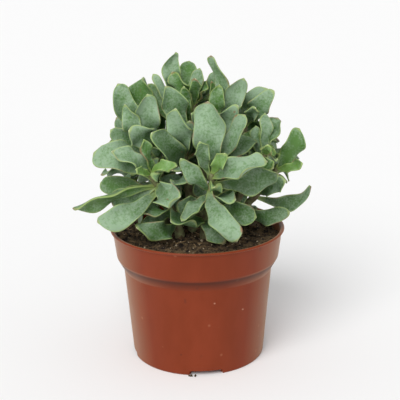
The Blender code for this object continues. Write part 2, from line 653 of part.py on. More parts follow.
def pair_tries(points, height, bearing, share, longest, draw, look):
    """A leaf of a pair at this height: long and spreading low on the stem, short and steep near its tip."""
    root, way = at_height(points, height)
    side = Vector((math.cos(bearing), math.sin(bearing), 0))
    out = (side - way * side.dot(way)).normalized()
    tilt = math.radians(PAIR_TILT - PAIR_TILT_LOSS * share ** 1.4) + draw.uniform(-0.12, 0.12)
    reach = longest * (1 - PAIR_LENGTH_LOSS * share ** 2.2) * draw.uniform(0.85, 1.1)
    width = PAIR_BREADTH * longest * (1 - PAIR_WIDTH_LOSS * share ** 2) * draw.uniform(0.85, 1.15)
    for swing in SWINGS:
        toward = Matrix.Rotation(swing, 3, way) @ out
        for lean in LEANS:
            ahead = way * math.cos(tilt + lean) + toward * math.sin(tilt + lean)
            for length in PAIR_LENGTHS:
                tip = root + ahead * reach * length
                away = tip - REACH_CENTRE
                if Vector((away.x / REACH.x, away.y / REACH.y, away.z / REACH.z)).length <= 1:
                    yield leaf_between(root, tip, way, width * (0.5 + 0.5 * length), 0.0, look)


def spoils_front(leaf, front):
    """Whether a leaf would hide more than a little of a listed front leaf, or leave the front's outline."""
    along, across = np.meshgrid((0.4, 0.55, 0.7, 0.85, 1.0), (-0.9, 0.0, 0.9))
    points = blade(leaf, along.ravel(), across.ravel(), np.zeros(15))
    hidden = 0
    for point in points.tolist():
        if not inside_outline(place_in_view(point)):
            return True
        point = Vector(point)
        sight = (point - EYE).normalized()
        hidden += front.ray_cast(point + sight, sight)[0] is not None
    return hidden > 2


def arrange():
    """All leaves, stem by stem: the front ones nearest to their listed places, then the pairs."""
    clearing = Clearing()
    runs = {name: run_points(name) for name in STEMS}
    stem_pattern = template(STEM_SIDES, STEM_RINGS)
    for name, points in runs.items():
        clearing.add(name, stem_points(points, *stem_pattern[:3]), stem_pattern[3].tolist())
    leaves = {name: [] for name in STEMS}
    draw = random.Random(SEED)
    for name, entries in FRONT_LEAVES.items():
        for entry in entries:
            look = rippled(draw, entry[4], *entry[6:])
            best = None
            for leaf in front_tries(entry, runs[name], look):
                found = clearing.crossings(name, leaf)
                if best is None or found < best[0]:
                    best = (found, leaf)
                if not any(found):
                    break
            if not best[0][0]:
                leaves[name].append(dict(best[1], rings=FRONT_RINGS))
                clearing.add_leaf(name, best[1])
    front = clearing.listed_leaves(leaves)
    for name, (low, high, count, first, longest) in PAIRS.items():
        for k in range(count):
            share = k / max(count - 1, 1)
            height = low + (high - low) * share ** 0.8
            for half_turn in (0, math.pi):
                bearing = math.radians(first + 90 * k) + half_turn
                look = rippled(draw, 0.36 * longest, draw.uniform(0, 35), draw.uniform(0, 5),
                               draw.uniform(-3, 3), draw.uniform(-3, 3))
                for leaf in pair_tries(runs[name], height, bearing, share, longest, draw, look):
                    if not spoils_front(leaf, front) and not any(clearing.crossings(name, leaf)):
                        leaves[name].append(dict(leaf, rings=PAIR_RINGS))
                        clearing.add_leaf(name, leaf)
                        break
    return runs, leaves


def stem_points(points, along, cosine, sine):
    """A round stem along its run, thick at the foot and slim at the tip."""
    placed = []
    for u, c, s in zip(along, cosine, sine):
        middle, way = at_share(points, float(u))
        aside = way.cross(Vector((0, 1, 0))).normalized()
        radius = STEM_FOOT_RADIUS + (STEM_TIP_RADIUS - STEM_FOOT_RADIUS) * u ** 0.8
        placed.append(middle + (aside * c + way.cross(aside) * s) * radius)
    return np.array(placed)


def solid_of(name, points, triangles, material=None):
    bm = bmesh.new()
    verts = [bm.verts.new(p) for p in points.tolist()]
    for a, b, c in triangles:
        bm.faces.new((verts[a], verts[b], verts[c]))
    bmesh.ops.recalc_face_normals(bm, faces=bm.faces)
    return object_of(bm, name, material)


def make_stem(name, points, leaves):
    """A stem with its leaves grown on it, as one closed body."""
    pattern = template(STEM_SIDES, STEM_RINGS)
    material = principled(f"{name}_leaf", JADE_GREEN, 0.5, 0.1)
    stem = solid_of(name, stem_points(points, *pattern[:3]), pattern[3].tolist(), material)
    blades = []
    for k, leaf in enumerate(leaves):
        pattern = template(LEAF_SIDES, leaf["rings"])
        blades.append(solid_of(f"{name}_leaf_{k}", blade(leaf, *pattern[:3]), pattern[3].tolist()))
    join(stem, collection_of(f"{name}_leaves", blades), "UNION", "MANIFOLD")
    return stem


def main():
    clear_scene()
    make_pot()
    make_soil()
    runs, leaves = arrange()
    for name, points in runs.items():
        make_stem(name, points, leaves[name])


main()
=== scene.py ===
"""Potted ripple jade plant: a nursery pot, its soil and its leafy stems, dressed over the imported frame.

The plant's sizes are written in millimetres and become metres where a mesh is made. A leaf of the front is
listed by the place of its tip in the front view. The other leaves follow their stem's rule.
"""

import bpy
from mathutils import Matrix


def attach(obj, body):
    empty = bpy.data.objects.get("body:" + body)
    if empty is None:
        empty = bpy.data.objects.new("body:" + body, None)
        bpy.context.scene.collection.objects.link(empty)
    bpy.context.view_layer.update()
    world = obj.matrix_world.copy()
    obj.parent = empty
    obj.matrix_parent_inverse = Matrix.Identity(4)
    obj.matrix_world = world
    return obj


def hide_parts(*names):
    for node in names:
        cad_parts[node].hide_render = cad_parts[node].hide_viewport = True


bl_info = {
    "name": "Potted Ripple Jade Plant",
    "version": (1, 0, 0),
    "blender": (4, 5, 0),
    "location": "3D View > Sidebar > Jade Plant",
    "description": "Builds a ripple jade plant in a plastic nursery pot",
    "category": "Add Mesh",
}

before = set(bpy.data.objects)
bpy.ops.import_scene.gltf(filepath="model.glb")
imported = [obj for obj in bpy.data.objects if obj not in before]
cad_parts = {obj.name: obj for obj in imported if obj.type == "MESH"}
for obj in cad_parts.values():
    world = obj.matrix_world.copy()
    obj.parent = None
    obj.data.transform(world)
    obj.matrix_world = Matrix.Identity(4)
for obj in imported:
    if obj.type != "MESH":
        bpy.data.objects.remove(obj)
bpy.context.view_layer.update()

import math
import random

import bmesh
import bpy
import numpy as np
from bpy.props import FloatProperty, FloatVectorProperty, IntProperty, PointerProperty
from mathutils import Matrix, Vector, noise
from mathutils.bvhtree import BVHTree

MM = 0.001

# The pot
POT_HEIGHT = 91.5
RIM_RADIUS = 60.0
LIP_HEIGHT = 1.6
COLLAR_TOP_RADIUS = 58.4
COLLAR_BOTTOM_RADIUS = 56.0
COLLAR_BOTTOM = 70.9
SHOULDER_BOTTOM = 63.6
BODY_TOP_RADIUS = 51.4
FOOT_RADIUS = 46.0
WALL = 1.5
FOOT_WIDTH = 2.4
FLOOR_UNDERSIDE = 3.2
FLOOR_THICKNESS = 1.8
NOTCH_COUNT = 4
NOTCH_FIRST = math.radians(-83.5)
NOTCH_WIDTH = 22.5
NOTCH_HEIGHT = 3.3
NOTCH_CORNER = 1.2
DRAIN_COUNT = 8
DRAIN_RADIUS = 4.0
DRAIN_CIRCLE = 30.0
DRAIN_SIDES = 32
# How far above the floor's underside the drain holes are cut, right through the floor
DRAIN_CUT = 4.0
# Edges that turn more than this are rounded, and those that turn more than this are shaded sharp
ROUNDED_FROM = math.radians(14)
SHARP_FROM = math.radians(32)

# Marks: place in the front view (right, up), depth behind the pot's axis and radius, in millimetres. Only
# this share of a point's distance in depth counts, so a mark meets a slanting surface. Marks on the pot show
# with this strength.
POT_SCUFFS = [(10, -70.9, -49, 0.7), (29.5, -75, -40, 0.8)]
POT_DIRT = [(-12.9, -105.8, -45, 0.8)]
LEAF_SCARS = [(29.5, -21, -48, 2.6), (24, 58.9, -20, 1.6)]
MARK_REACH = 0.15
MARK_STRENGTH = 0.6

# The soil
SOIL_LEVEL = 85.0
MOUND_HEIGHT = 1.2
MOUND_SPREAD = 30.0
STEM_DEPTH = 20.0
SOIL_GAP = 0.35
SOIL_STEPS = 200
TOP_RINGS = 60
CLOD_SIZE = 5.5
CLOD_HEIGHT = 1.3
CLOD_ROUGHNESS = 0.8
CLOD_DETAIL = 2.1
CLOD_LEVELS = 5

# What lies on the soil, in millimetres and shares of a piece's size, and the crumbs that fell by the foot
LITTER_SEED = 5
LITTER_MARGIN = 1.5
LUMP_SIZES = (0.4, 1.5)
BIG_LUMP = 1.7
BIG_LUMPS_SHARE = 0.05
LUMP_LIFT = 0.25
LUMP_ROUGHNESS = (-0.2, 0.2)
LUMP_BREADTHS = (0.6, 1)
CRUMB_FLATTEST = 0.6
GRIT_SIZE = 0.95
GRIT_FLATTEST = 0.7
STRAW_LENGTHS = (3, 9)
STRAW_RADII = (0.2, 0.36)
STRAW_BENDS = (-1.2, 1.2)
STRAW_TILTS = (-0.2, 0.35)
STRAW_LIFT = 0.7
FALLEN_CRUMBS = 7
FALLEN_BEARING = math.radians(-95)
FALLEN_SPREAD = 0.06
FALLEN_RADII = (0.3, 0.9)
FALLEN_AWAY = (0.1, 1.6)

# The front view
VIEW_CENTRE = Vector((2.0, 0.0, 109.4))
VIEW_RISE = math.radians(16.4)
VIEW_ROLL = math.radians(0.57)
VIEW_DISTANCE = 620.0
SENSOR = 36.0
VIEW_LENS = 81.3
EYE = VIEW_CENTRE + VIEW_DISTANCE * Vector((0, -math.cos(VIEW_RISE), math.sin(VIEW_RISE)))

# The studio
FLOOR_HALF = 8000.0
# Up to the first of these heights above level (0) the light is the horizon's, and from the second up to
# overhead (1) it is the room's
HORIZON_TOP = 0.25
ROOM_FROM = 0.6
KEY_SPREAD = math.radians(40)
KEY_TURN = (math.radians(42), math.radians(-22), 0.0)
# How far the camera sees, in metres
VIEW_REACH = 100

# Sockets of the node that mixes colours
MIX_FACTOR, MIX_A, MIX_B, MIX_RESULT = 0, 6, 7, 2

# Stems and leaves
STEM_FOOT_RADIUS = 4.2
STEM_TIP_RADIUS = 1.9
# The sides and rings of a stem as it is tested and as it is drawn, and its knobs: their height as a share of
# its radius, and how many radians of their wave it holds
STEM_SIDES = 6
STEM_RINGS = 7
FINE_STEM_SIDES = 14
FINE_STEM_RINGS = 44
KNOB_HEIGHT = 0.07
KNOB_WAVE = 70
LEAF_THICKNESS = 2.3
# A leaf is tested with this many sides and rings. Its own stem and its stem's leaves may cross it up to this
# share of its length, and it keeps this far from other nodes (mm).
TEST_SIDES = 4
TEST_RINGS = 6
ROOT_CLEAR = 0.36
CLEARANCE = 0.7

# A blade's form: how far its cross-sections gather towards the tip, its breadth at the root, where along it
# is broadest and where it starts to taper, how full its end stays, how deep its margin is scalloped, how
# near the margin its ripples rise, and how much thinner its tip is
TIP_GATHER = 1.35
ROOT_BREADTH = 0.2
BROADEST_AT = 0.72
TAPER_FROM = 0.7
FULLNESS = 2.2
SCALLOP = 0.1
RIPPLE_RISE = 1.9
TIP_THINNING = 0.35
# How a leaf is rippled: the ranges of its waves, of how far one side lags behind the other, of its ripple's
# height and its tip's curl as shares of its width, of how far its sides rise, and of how blunt its tip is
WAVES = (1.5, 2.3)
LAGS = (0.3, 0.7)
RIPPLES = (0.18, 0.3)
FOLDS = (0.2, 0.7)
BLUNTNESS = (0.4, 0.5)
CURLS = (-0.6, 0.3)
# What a leaf tries in turn until it crosses nothing: a front leaf is rolled (degrees), moved along the line
# of sight (mm) and shortened; a leaf of a pair is shortened, leant and swung round its stem (radians)
ROLLS = (0, 14, -14, 28, -28)
DEPTH_SHIFTS = (0, 3, -3, 6, -6, 9, -9, 12, -12, 15, -15, 18)
FRONT_LENGTHS = (1.0, 0.96, 0.9, 0.82, 0.72)
PAIR_LENGTHS = (1.0, 0.85, 0.7)
LEANS = (0, 0.12, -0.12, 0.25, -0.25, 0.38, -0.38, 0.5, -0.5)
SWINGS = (0, 0.25, -0.25, 0.5, -0.5, 0.75, -0.75)
# A leaf of a pair leans this far from a stem's foot part and this much less at its tip (degrees); it is
# shorter and narrower towards the stem's tip by these shares, and this broad for the longest blade's length
PAIR_TILT = 70
PAIR_TILT_LOSS = 42
PAIR_LENGTH_LOSS = 0.62
PAIR_WIDTH_LOSS = 0.4
PAIR_BREADTH = 0.46
# The ranges that a pair's leaf is drawn from: its tilt (radians), its length and width as shares, its twist
# (degrees), arch and bow (mm), and the share of the longest blade that its ripples are scaled by
TILT_DRAW = (-0.12, 0.12)
LENGTH_DRAW = (0.85, 1.1)
WIDTH_DRAW = (0.85, 1.15)
TWIST_DRAW = (0, 35)
ARCH_DRAW = (0, 5)
BOW_DRAW = (-3, 3)
RIPPLED_WIDTH = 0.36
# How many of the points of a listed front leaf another leaf may hide
HIDDEN_MOST = 2

# Each stem's run: points that it passes through, from the foot of its buried part to its growing tip
STEMS = {
    "stem_front": [(5, -9, 88), (7, -15, 105), (9, -22, 120), (9.5, -27, 131), (10, -31, 137)],
    "stem_left": [(-12, -9, 88), (-16, -13, 104), (-23, -18, 119), (-28, -23, 130), (-30, -27, 136)],
    "stem_left_top": [(-14, 4, 88), (-19, 2, 108), (-25, -2, 130), (-29, -5, 146), (-31, -6, 155)],
    "stem_top": [(-3, 3, 88), (-5, 1, 112), (-8, -1, 134), (-6, 0, 156), (-2, 2, 172), (0, 3, 181)],
    "stem_top_right": [(7, 5, 88), (10, 3, 115), (13, 3, 140), (13, 5, 158), (12, 7, 170)],
    "stem_right": [(15, -1, 88), (24, -4, 106), (35, -8, 124), (43, -11, 138), (46, -12, 145)],
    "stem_far_right": [(18, 8, 88), (30, 6, 100), (43, 4, 114), (52, 1, 127), (55, 0, 133)],
    "stem_back_right": [(12, 17, 88), (20, 17, 112), (28, 15, 138), (33, 14, 156), (35, 14, 163)],
    "stem_back_left": [(-13, 17, 88), (-18, 21, 110), (-24, 27, 138), (-28, 30, 163)],
    "stem_back": [(0, 22, 88), (3, 29, 108), (6, 38, 132), (8, 43, 152)],
    "stem_back_top": [(3, 12, 88), (4, 17, 118), (5, 22, 148), (4, 25, 173)],
    "stem_back_far_left": [(-22, 10, 88), (-36, 17, 104), (-48, 23, 124), (-53, 26, 140)],
    "stem_back_far_right": [(14, 26, 88), (27, 33, 106), (39, 38, 124), (44, 40, 141)],
    "stem_back_low": [(-9, 30, 88), (-13, 38, 100), (-17, 45, 113), (-19, 48, 122)],
}

# Front leaves: root height on the stem, the tip's place in the front view (right, up), the tip's depth
# behind the pot's axis, the blade's width, how it is rolled and twisted (degrees), how far its midline is
# arched, and how far it bows to the side at a third and two thirds of its length (anticlockwise, mm)
FRONT_LEAVES = {
    "stem_front": [
        (130, 5, 66.5, -24, 21.5, -12, 8, 2, -1.5, -1),
        (126, 24, -27, -50, 16, 10, 20, 3, -4, -2),
        (133, 42, 28.5, -42, 15.5, -30, 20, 3, -3, -3),
        (133, 30, 58, -24, 13, -15, 45, -2, 2, -1),
        (132, 39, 42, -18, 15, 20, 10, 1, 3, 5),
        (128, 53, 20, -28, 17, 25, 10, 2, -2, -2),
        (134, 0, 39, -42, 10, -15, 20, -2, 2, 1),
        (122, -12, 24, -38, 11.5, -25, 10, 2, -1, -1),
        (136, 15, 29, -34, 9, 0, 0, -1, 0, 0),
        (136, 20, 27, -39, 8, 20, 0, -1, 0, 0),
        (120, -12, -11, -42, 9, 30, 0, 2, 1, 1),
        (114, -15, -7, -26, 14, 0, 0, 2, 0, 0),
        (100, 12.5, -27, -32, 14, 0, 10, 2, 1, 1),
        (106, 38, -12, -24, 15, 10, 0, 2, 2, 3),
    ],
    "stem_left": [
        (130, -71, 35, -22, 21, 15, 20, 2, -3, -2),
        (132, -57, 34, -34, 12, 30, 20, 1, -2, -1),
        (126, -10.5, 1, -50, 17.5, 5, 5, 2, -2, -2),
        (122, -70, -14.5, -34, 16, 18, 20, 2, 4, 6),
        (126, -58, -3, -16, 17, 0, 0, 2, 0, 0),
        (125, -87, -5, -24, 12, -25, 30, 1, -5, -2.5),
        (120, -66, 12, 2, 15, -10, 0, 2, 0, 0),
        (132, -38, 41, -28, 8, 40, 10, 0, 0, 1),
        (134, -15, 23, -40, 8, -20, 20, 3, 3, 2),
        (134, -43, 21, -36, 6, 20, 0, -1, 0, 0),
        (98, -37, -18, -38, 13, 0, 10, 1, 5, 5),
        (104, -39, -16, -20, 8, 0, 0, 1, 0, 0),
    ],
    "stem_left_top": [
        (150, -55.5, 79.5, -2, 15.5, 10, 10, 2, 3, 4),
        (152, -35, 83.5, 4, 19, -15, 10, 2, 2, 2),
        (148, -36, 71, -16, 16, 0, 10, 2, 1, 1),
        (146, -48, 47, -24, 17, 20, 10, 2, -1, -2),
        (148, -52, 62, -8, 12, 0, 10, 2, 0, 0),
        (147, -51, 56, -16, 9, 30, 0, 2, 0, 0),
        (144, -57, 56, -2, 12, 0, 0, 2, 0, 0),
        (140, -61, 48, -6, 13, 10, 0, 2, 0, 0),
        (138, -58, 41, 2, 14, -10, 0, 2, 0, 0),
    ],
    "stem_top": [
        (132, -33, 45.5, -32, 17, 5, 10, 2, 0, 0),
        (140, -17, 59, -24, 18, 0, 15, 2, 0, -1),
        (146, -7, 50, -24, 9, 25, 10, 1, 0, 0),
        (148, -1, 51, -16, 6, 20, 0, 1, 0, 0),
        (152, -23, 76.5, -14, 16.5, 5, 10, 2, 1, 0),
        (160, -11, 78, -8, 8, 0, 0, 1, 0, 0),
        (156, -34.5, 80, -6, 9, 15, 0, 1, 3, 4),
        (160, -30, 87, 4, 8, 0, 0, 1, 2, 3),
        (166, -15.5, 101, 6, 12, 10, 10, -2, 4, 7.5),
        (168, -20, 85, -6, 12, -20, 30, 2, -3, -4),
        (170, -7.5, 97, 18, 12, 0, 10, 2, 1, 1),
        (172, -1, 90, 6, 10, -15, 10, 2, 0, 0),
        (174, -3, 83, -6, 8, 20, 0, -1, 0, 0),
        (174, 4, 82, -2, 9, -20, 0, -1, 0, 0),
    ],
    "stem_top_right": [
        (160, 29, 82, -2, 14, 0, 20, 1, -1, -1),
        (160, 13, 76, -4, 11, 15, 0, 1, 1, 1),
        (165, 8, 81, 4, 6, 0, 0, 0, 0, 0),
        (165, 10, 88, 8, 12, 10, 10, 1, 0, 0),
        (158, 8, 98.5, 14, 10, -30, 30, 1, -9, -7),
        (156, -7, 60, -12, 10, 0, 0, 1, 0, 0),
        (152, 25, 63, -14, 13, 0, 0, 2, 1, 1),
    ],
    "stem_back_right": [
        (158, 45, 75, 6, 19, -10, 10, 2, 1, 1),
        (160, 47, 71, -2, 14, 10, 10, 2, 0, 0),
        (160, 39, 65, -6, 9, 0, 0, 1, 0, 0),
    ],
    "stem_back": [
        (112, -6, 37, 12, 20, 0, 10, 2, 0, 0),
        (102, -14, 6, 10, 18, 0, 10, 2, 0, 0),
    ],
    "stem_back_top": [
        (158, -25, 62, 12, 18, 0, 10, 2, 0, 0),
        (164, 4, 70, 14, 16, 0, 10, 2, 0, 0),
    ],
    "stem_back_far_right": [
        (138, 28, 63, 22, 17, 0, 10, 2, 0, 0),
    ],
    "stem_right": [
        (140, 45, 59, -8, 9, 20, 10, 1, 0, 0),
        (138, 37, 60, -1, 9, 0, 10, 1, 0, 0),
        (140, 53, 56, -4, 13, 0, 10, 2, 0, -1),
        (138, 30, 47, -14, 12, 10, 10, 2, -3, -4),
        (144, 46, 36, -20, 8, 0, 0, -1, 0, 0),
        (144, 50, 34, -18, 8, 0, 0, -1, 0, 0),
        (138, 52, 21, -26, 10, 0, 0, 2, 0, 0),
    ],
    "stem_far_right": [
        (128, 69.5, 45.5, -4, 15, 25, 20, -1, -1, -1),
        (131, 70.5, 25, -16, 8, -20, 0, -1, -1, -1),
        (114, 58, 12.5, -20, 15, 0, 10, 2, 0, 2),
        (110, 77, 8, 10, 12, 15, 15, -2, -6, -8),
        (100, 59, -8, -14, 12, 0, 0, 1, -3, -4),
    ],
}

# Leaves by rule, in pairs that turn a quarter from each to the next: the root heights of the first and the
# last pair, the number of pairs, the first pair's bearing (degrees from +X) and the longest blade
PAIRS = {
    "stem_front": (98, 124, 4, 40, 36),
    "stem_left": (96, 126, 4, 60, 38),
    "stem_left_top": (98, 152, 7, 110, 42),
    "stem_top": (104, 178, 9, 70, 40),
    "stem_top_right": (100, 168, 8, 50, 40),
    "stem_right": (98, 142, 5, 80, 38),
    "stem_far_right": (98, 131, 4, 60, 40),
    "stem_back_right": (100, 161, 7, 30, 42),
    "stem_back_left": (98, 161, 8, 20, 46),
    "stem_back": (98, 150, 7, 60, 46),
    "stem_back_top": (106, 171, 8, 80, 42),
    "stem_back_far_left": (96, 138, 6, 40, 44),
    "stem_back_far_right": (96, 139, 6, 70, 44),
    "stem_back_low": (94, 120, 4, 10, 40),
}
# The plant's outline in the front view, (right, up), which the leaves placed by rule stay inside
FRONT_OUTLINE = [
    (-60, -11), (-69, -6), (-67, 8), (-71, 26), (-70, 36), (-61, 41), (-60, 49), (-54, 60), (-59, 75),
    (-50, 79), (-31, 86), (-22, 99), (-15, 99), (-3, 94), (3, 85), (7, 96), (20, 82), (30, 82), (30, 72),
    (46, 75), (51, 66), (58, 53), (54, 39), (70, 43), (71, 26), (62, 13), (53, 2), (41, 2), (38, -16),
    (8, -24), (-26, -24), (-50, -16),
]
SEED = 11
# The tint of each front leaf, in the order of the list above: pale, mid, green, dark or lime
FRONT_TINTS = {
    "stem_front": "ppppddmmllmddd",
    "stem_left": "ppppmggglldd",
    "stem_left_top": "mgppmgmmg",
    "stem_top": "mpmgmggpmggmgg",
    "stem_top_right": "pggmmpp",
    "stem_back_right": "pmm",
    "stem_back": "dd",
    "stem_back_top": "dd",
    "stem_back_far_right": "d",
    "stem_right": "mmmgllg",
    "stem_far_right": "glmdd",
}
# A tint's bloom, youth and tone
TINTS = {
    "p": (0.9, 0.0, 0.35), "m": (0.6, 0.0, 0.0), "g": (0.12, 0.12, 0.05), "d": (0.4, 0.0, -0.7),
    "l": (0.35, 0.68, 0.1),
}
LEAF_LAYERS = ("inset", "along", "bloom", "youth", "tone")
POINT_LENGTH = 0.9
# How flat a leaf's section is in its middle, and how full it is at its margins
FLATNESS = 0.6
MARGIN_FULLNESS = 0.8
# The ranges of bloom, youth and tone: about a listed leaf's tint, and of a leaf of a pair, which is only
# young past this share of the way up its stem
TINT_BLOOM = (-0.08, 0.08)
TINT_TONE = (-0.2, 0.2)
DRAWN_BLOOM = (0.15, 0.95)
DRAWN_YOUTH = (0.1, 0.8)
DRAWN_TONE = (-0.8, 0.6)
YOUNG_FROM = 0.8
REACH = Vector((80.0, 60.0, 112.0))
REACH_CENTRE = Vector((0.0, 0.0, 92.0))


def inner_wall():
    """The inside of the pot's wall as (radius, height) points, from the floor up."""
    return [
        (FOOT_RADIUS - WALL - 0.2, FLOOR_UNDERSIDE + FLOOR_THICKNESS),
        (BODY_TOP_RADIUS - WALL, SHOULDER_BOTTOM - 0.3),
        (COLLAR_BOTTOM_RADIUS - WALL - 0.3, COLLAR_BOTTOM - 0.2),
        (COLLAR_TOP_RADIUS - WALL, POT_HEIGHT - LIP_HEIGHT),
        (RIM_RADIUS - WALL - 0.6, POT_HEIGHT - 0.3),
    ]


def wall_inside(height):
    """The radius of the pot's inner wall at this height."""
    radii, heights = zip(*inner_wall())
    return np.interp(height, heights, radii)


def soil_height(x, y):
    """The uneven top of the soil: a low mound with clods."""
    mound = MOUND_HEIGHT * np.exp(-(x * x + y * y) / MOUND_SPREAD ** 2)
    clods = 0.9 * np.sin(0.23 * x + 1.3) * np.cos(0.19 * y) + 0.7 * np.sin(0.41 * y + 0.33 * x + 2)
    return SOIL_LEVEL + mound + clods


def view(right, up, depth):
    """The point at this depth behind the pot's axis that the front view shows at (right, up)."""
    across = right * math.cos(VIEW_ROLL) + up * math.sin(VIEW_ROLL)
    rise = up * math.cos(VIEW_ROLL) - right * math.sin(VIEW_ROLL)
    aim = VIEW_CENTRE + Vector((across, rise * math.sin(VIEW_RISE), rise * math.cos(VIEW_RISE)))
    return EYE + (aim - EYE) * ((depth - EYE.y) / (aim.y - EYE.y))


def place_in_view(point):
    """The (right, up) at which the front view shows a point: the reverse of view()."""
    ray = Vector(point) - EYE
    ahead = (VIEW_CENTRE - EYE).normalized()
    ray *= VIEW_DISTANCE / ray.dot(ahead)
    rise = ray.dot(Vector((0, math.sin(VIEW_RISE), math.cos(VIEW_RISE))))
    return (ray.x * math.cos(VIEW_ROLL) - rise * math.sin(VIEW_ROLL),
            rise * math.cos(VIEW_ROLL) + ray.x * math.sin(VIEW_ROLL))


def inside_outline(place):
    """Whether a place in the front view lies inside the plant's outline there."""
    x, y = place
    inside = False
    for (ax, ay), (bx, by) in zip(FRONT_OUTLINE, FRONT_OUTLINE[1:] + FRONT_OUTLINE[:1]):
        if (ay > y) != (by > y) and x < ax + (bx - ax) * (y - ay) / (by - ay):
            inside = not inside
    return inside


def run_points(name):
    """A stem's run as a smooth curve through its points, from the foot of its buried part."""
    x, y, _ = STEMS[name][0]
    knots = [Vector((x, y, SOIL_LEVEL - STEM_DEPTH))] + [Vector(p) for p in STEMS[name]]
    ends = [2 * knots[0] - knots[1]] + knots + [2 * knots[-1] - knots[-2]]
    points = []
    for k in range(1, len(ends) - 2):
        before, start, end, after = ends[k - 1:k + 3]
        for step in range(8):
            t = step / 8
            bend = 2 * before - 5 * start + 4 * end - after
            turn = 3 * start - before - 3 * end + after
            points.append(0.5 * (2 * start + (end - before) * t + bend * t * t + turn * t ** 3))
    return points + [knots[-1]]


def at_share(points, share):
    """The point and the direction at this share (0 to 1) of a run's length."""
    lengths = [0.0]
    for a, b in zip(points, points[1:]):
        lengths.append(lengths[-1] + (b - a).length)
    want = share * lengths[-1]
    k = min(max(sum(length <= want for length in lengths) - 1, 0), len(points) - 2)
    t = (want - lengths[k]) / (lengths[k + 1] - lengths[k])
    return points[k].lerp(points[k + 1], t), (points[k + 1] - points[k]).normalized()


def at_height(points, height):
    """The point and the direction where a run passes this height."""
    for a, b in zip(points, points[1:]):
        if b.z >= height:
            return a.lerp(b, max((height - a.z) / (b.z - a.z), 0.0)), (b - a).normalized()
    return points[-1], (points[-1] - points[-2]).normalized()


def sphere_pattern(verts):
    """Each point of a unit sphere as its place from pole to pole (0 to 1) and the cosine and sine of its
    place around it, both 0 at a pole."""
    places = np.array([v.co for v in verts])
    along = np.arccos(np.clip(places[:, 2], -1, 1)) / math.pi
    flat = np.hypot(places[:, 0], places[:, 1])
    flat[flat < 1e-4] = 1e9
    return along, places[:, 0] / flat, places[:, 1] / flat


def template(around, rings):
    """A sphere as a flat pattern, with its triangles split alike on the +sine and -sine sides."""
    bm = bmesh.new()
    bmesh.ops.create_uvsphere(bm, u_segments=around, v_segments=rings + 1, radius=1)
    bm.verts.ensure_lookup_table()
    along, cosine, sine = sphere_pattern(bm.verts)
    triangles = []
    for face in bm.faces:
        corners = [v.index for v in face.verts]
        if len(corners) == 4:
            order = [(round(along[c], 4), round(-abs(cosine[c]), 4), k) for k, c in enumerate(corners)]
            first = min(order)[2]
            corners = corners[first:] + corners[:first]
            triangles += [(corners[0], corners[1], corners[2]), (corners[0], corners[2], corners[3])]
        else:
            triangles.append(tuple(corners))
    bm.free()
    return along, cosine, sine, np.array(triangles)


def smooth(low, high, x):
    """Eases from 0 at low to 1 at high."""
    t = np.clip((x - low) / (high - low), 0, 1)
    return t * t * (3 - 2 * t)


def spread(along):
    """Draws the rings together towards the tip."""
    return 1 - (1 - along) ** TIP_GATHER


def outline(leaf, u):
    """Half the blade's breadth as a share of its greatest: narrow at the root, widest well past the middle,
    and blunt or drawn to a point at the tip."""
    end = np.clip((u - TAPER_FROM) / (1 - TAPER_FROM), 0, 1)
    grown = ROOT_BREADTH + (1 - ROOT_BREADTH) * smooth(-0.06, BROADEST_AT, u)
    return grown * np.clip(1 - end ** FULLNESS, 0, 1) ** leaf["point"]


def blade(leaf, along, across, over, margin=0.0):
    """Points of a leaf in millimetres. along runs 0 to 1 from root to tip, across -1 to 1 over the width
    and over -1 to 1 through the thickness. The blade's midline is arched, bows to the side and curls at the
    tip; its sides rise into a shallow channel and ripple out of step; and the whole blade twists along its
    length. margin makes it larger all round."""
    u = spread(along)
    wave_at = math.tau * (leaf["waves"] * u + leaf["phase"] + np.where(across > 0, leaf["lag"], 0))
    grown = smooth(0.15, 0.5, u)
    breadth = outline(leaf, u)
    half = leaf["width"] / 2 * breadth * (1 + SCALLOP * np.cos(wave_at) * grown) + margin
    thinned = (0.8 + 0.2 * smooth(0, 0.4, u)) * (1 - TIP_THINNING * smooth(0.7, 1, u))
    thick = LEAF_THICKNESS / 2 * thinned + margin
    side = across * half
    lift = leaf["ripple"] * np.abs(across) ** RIPPLE_RISE * np.sin(wave_at) * grown * np.sqrt(breadth)
    lift += leaf["fold"] * half * across ** 2 + over * thick
    turn = leaf["twist"] * (u - 0.4)
    y = side * np.cos(turn) - lift * np.sin(turn)
    z = side * np.sin(turn) + lift * np.cos(turn)
    z = z + leaf["arch"] * 4 * u * (1 - u) + leaf["curl"] * np.clip(2 * u - 1, 0, 1) ** 2
    y = y + 13.5 * u * (1 - u) * (leaf["bow_low"] * (2 / 3 - u) + leaf["bow_high"] * (u - 1 / 3))
    x = u * (leaf["length"] + margin * (2 * u - 1))
    return (np.outer(x, leaf["ahead"]) + np.outer(y, leaf["aside"]) + np.outer(z, leaf["faces"])
            + np.array(leaf["root"]))


def leaf_between(root, tip, looks_to, width, roll, look):
    """A leaf from its root to its tip. Its face looks in this direction as far as it can, then rolls."""
    ahead = (tip - root).normalized()
    faces = looks_to - ahead * looks_to.dot(ahead)
    if faces.length < 0.05:
        faces = Vector((0, 0, 1)) - ahead * ahead.z
    faces = Matrix.Rotation(roll, 3, ahead) @ faces.normalized()
    return dict(look, root=tuple(root), ahead=tuple(ahead), aside=tuple(faces.cross(ahead)),
                faces=tuple(faces), length=(tip - root).length, width=width)


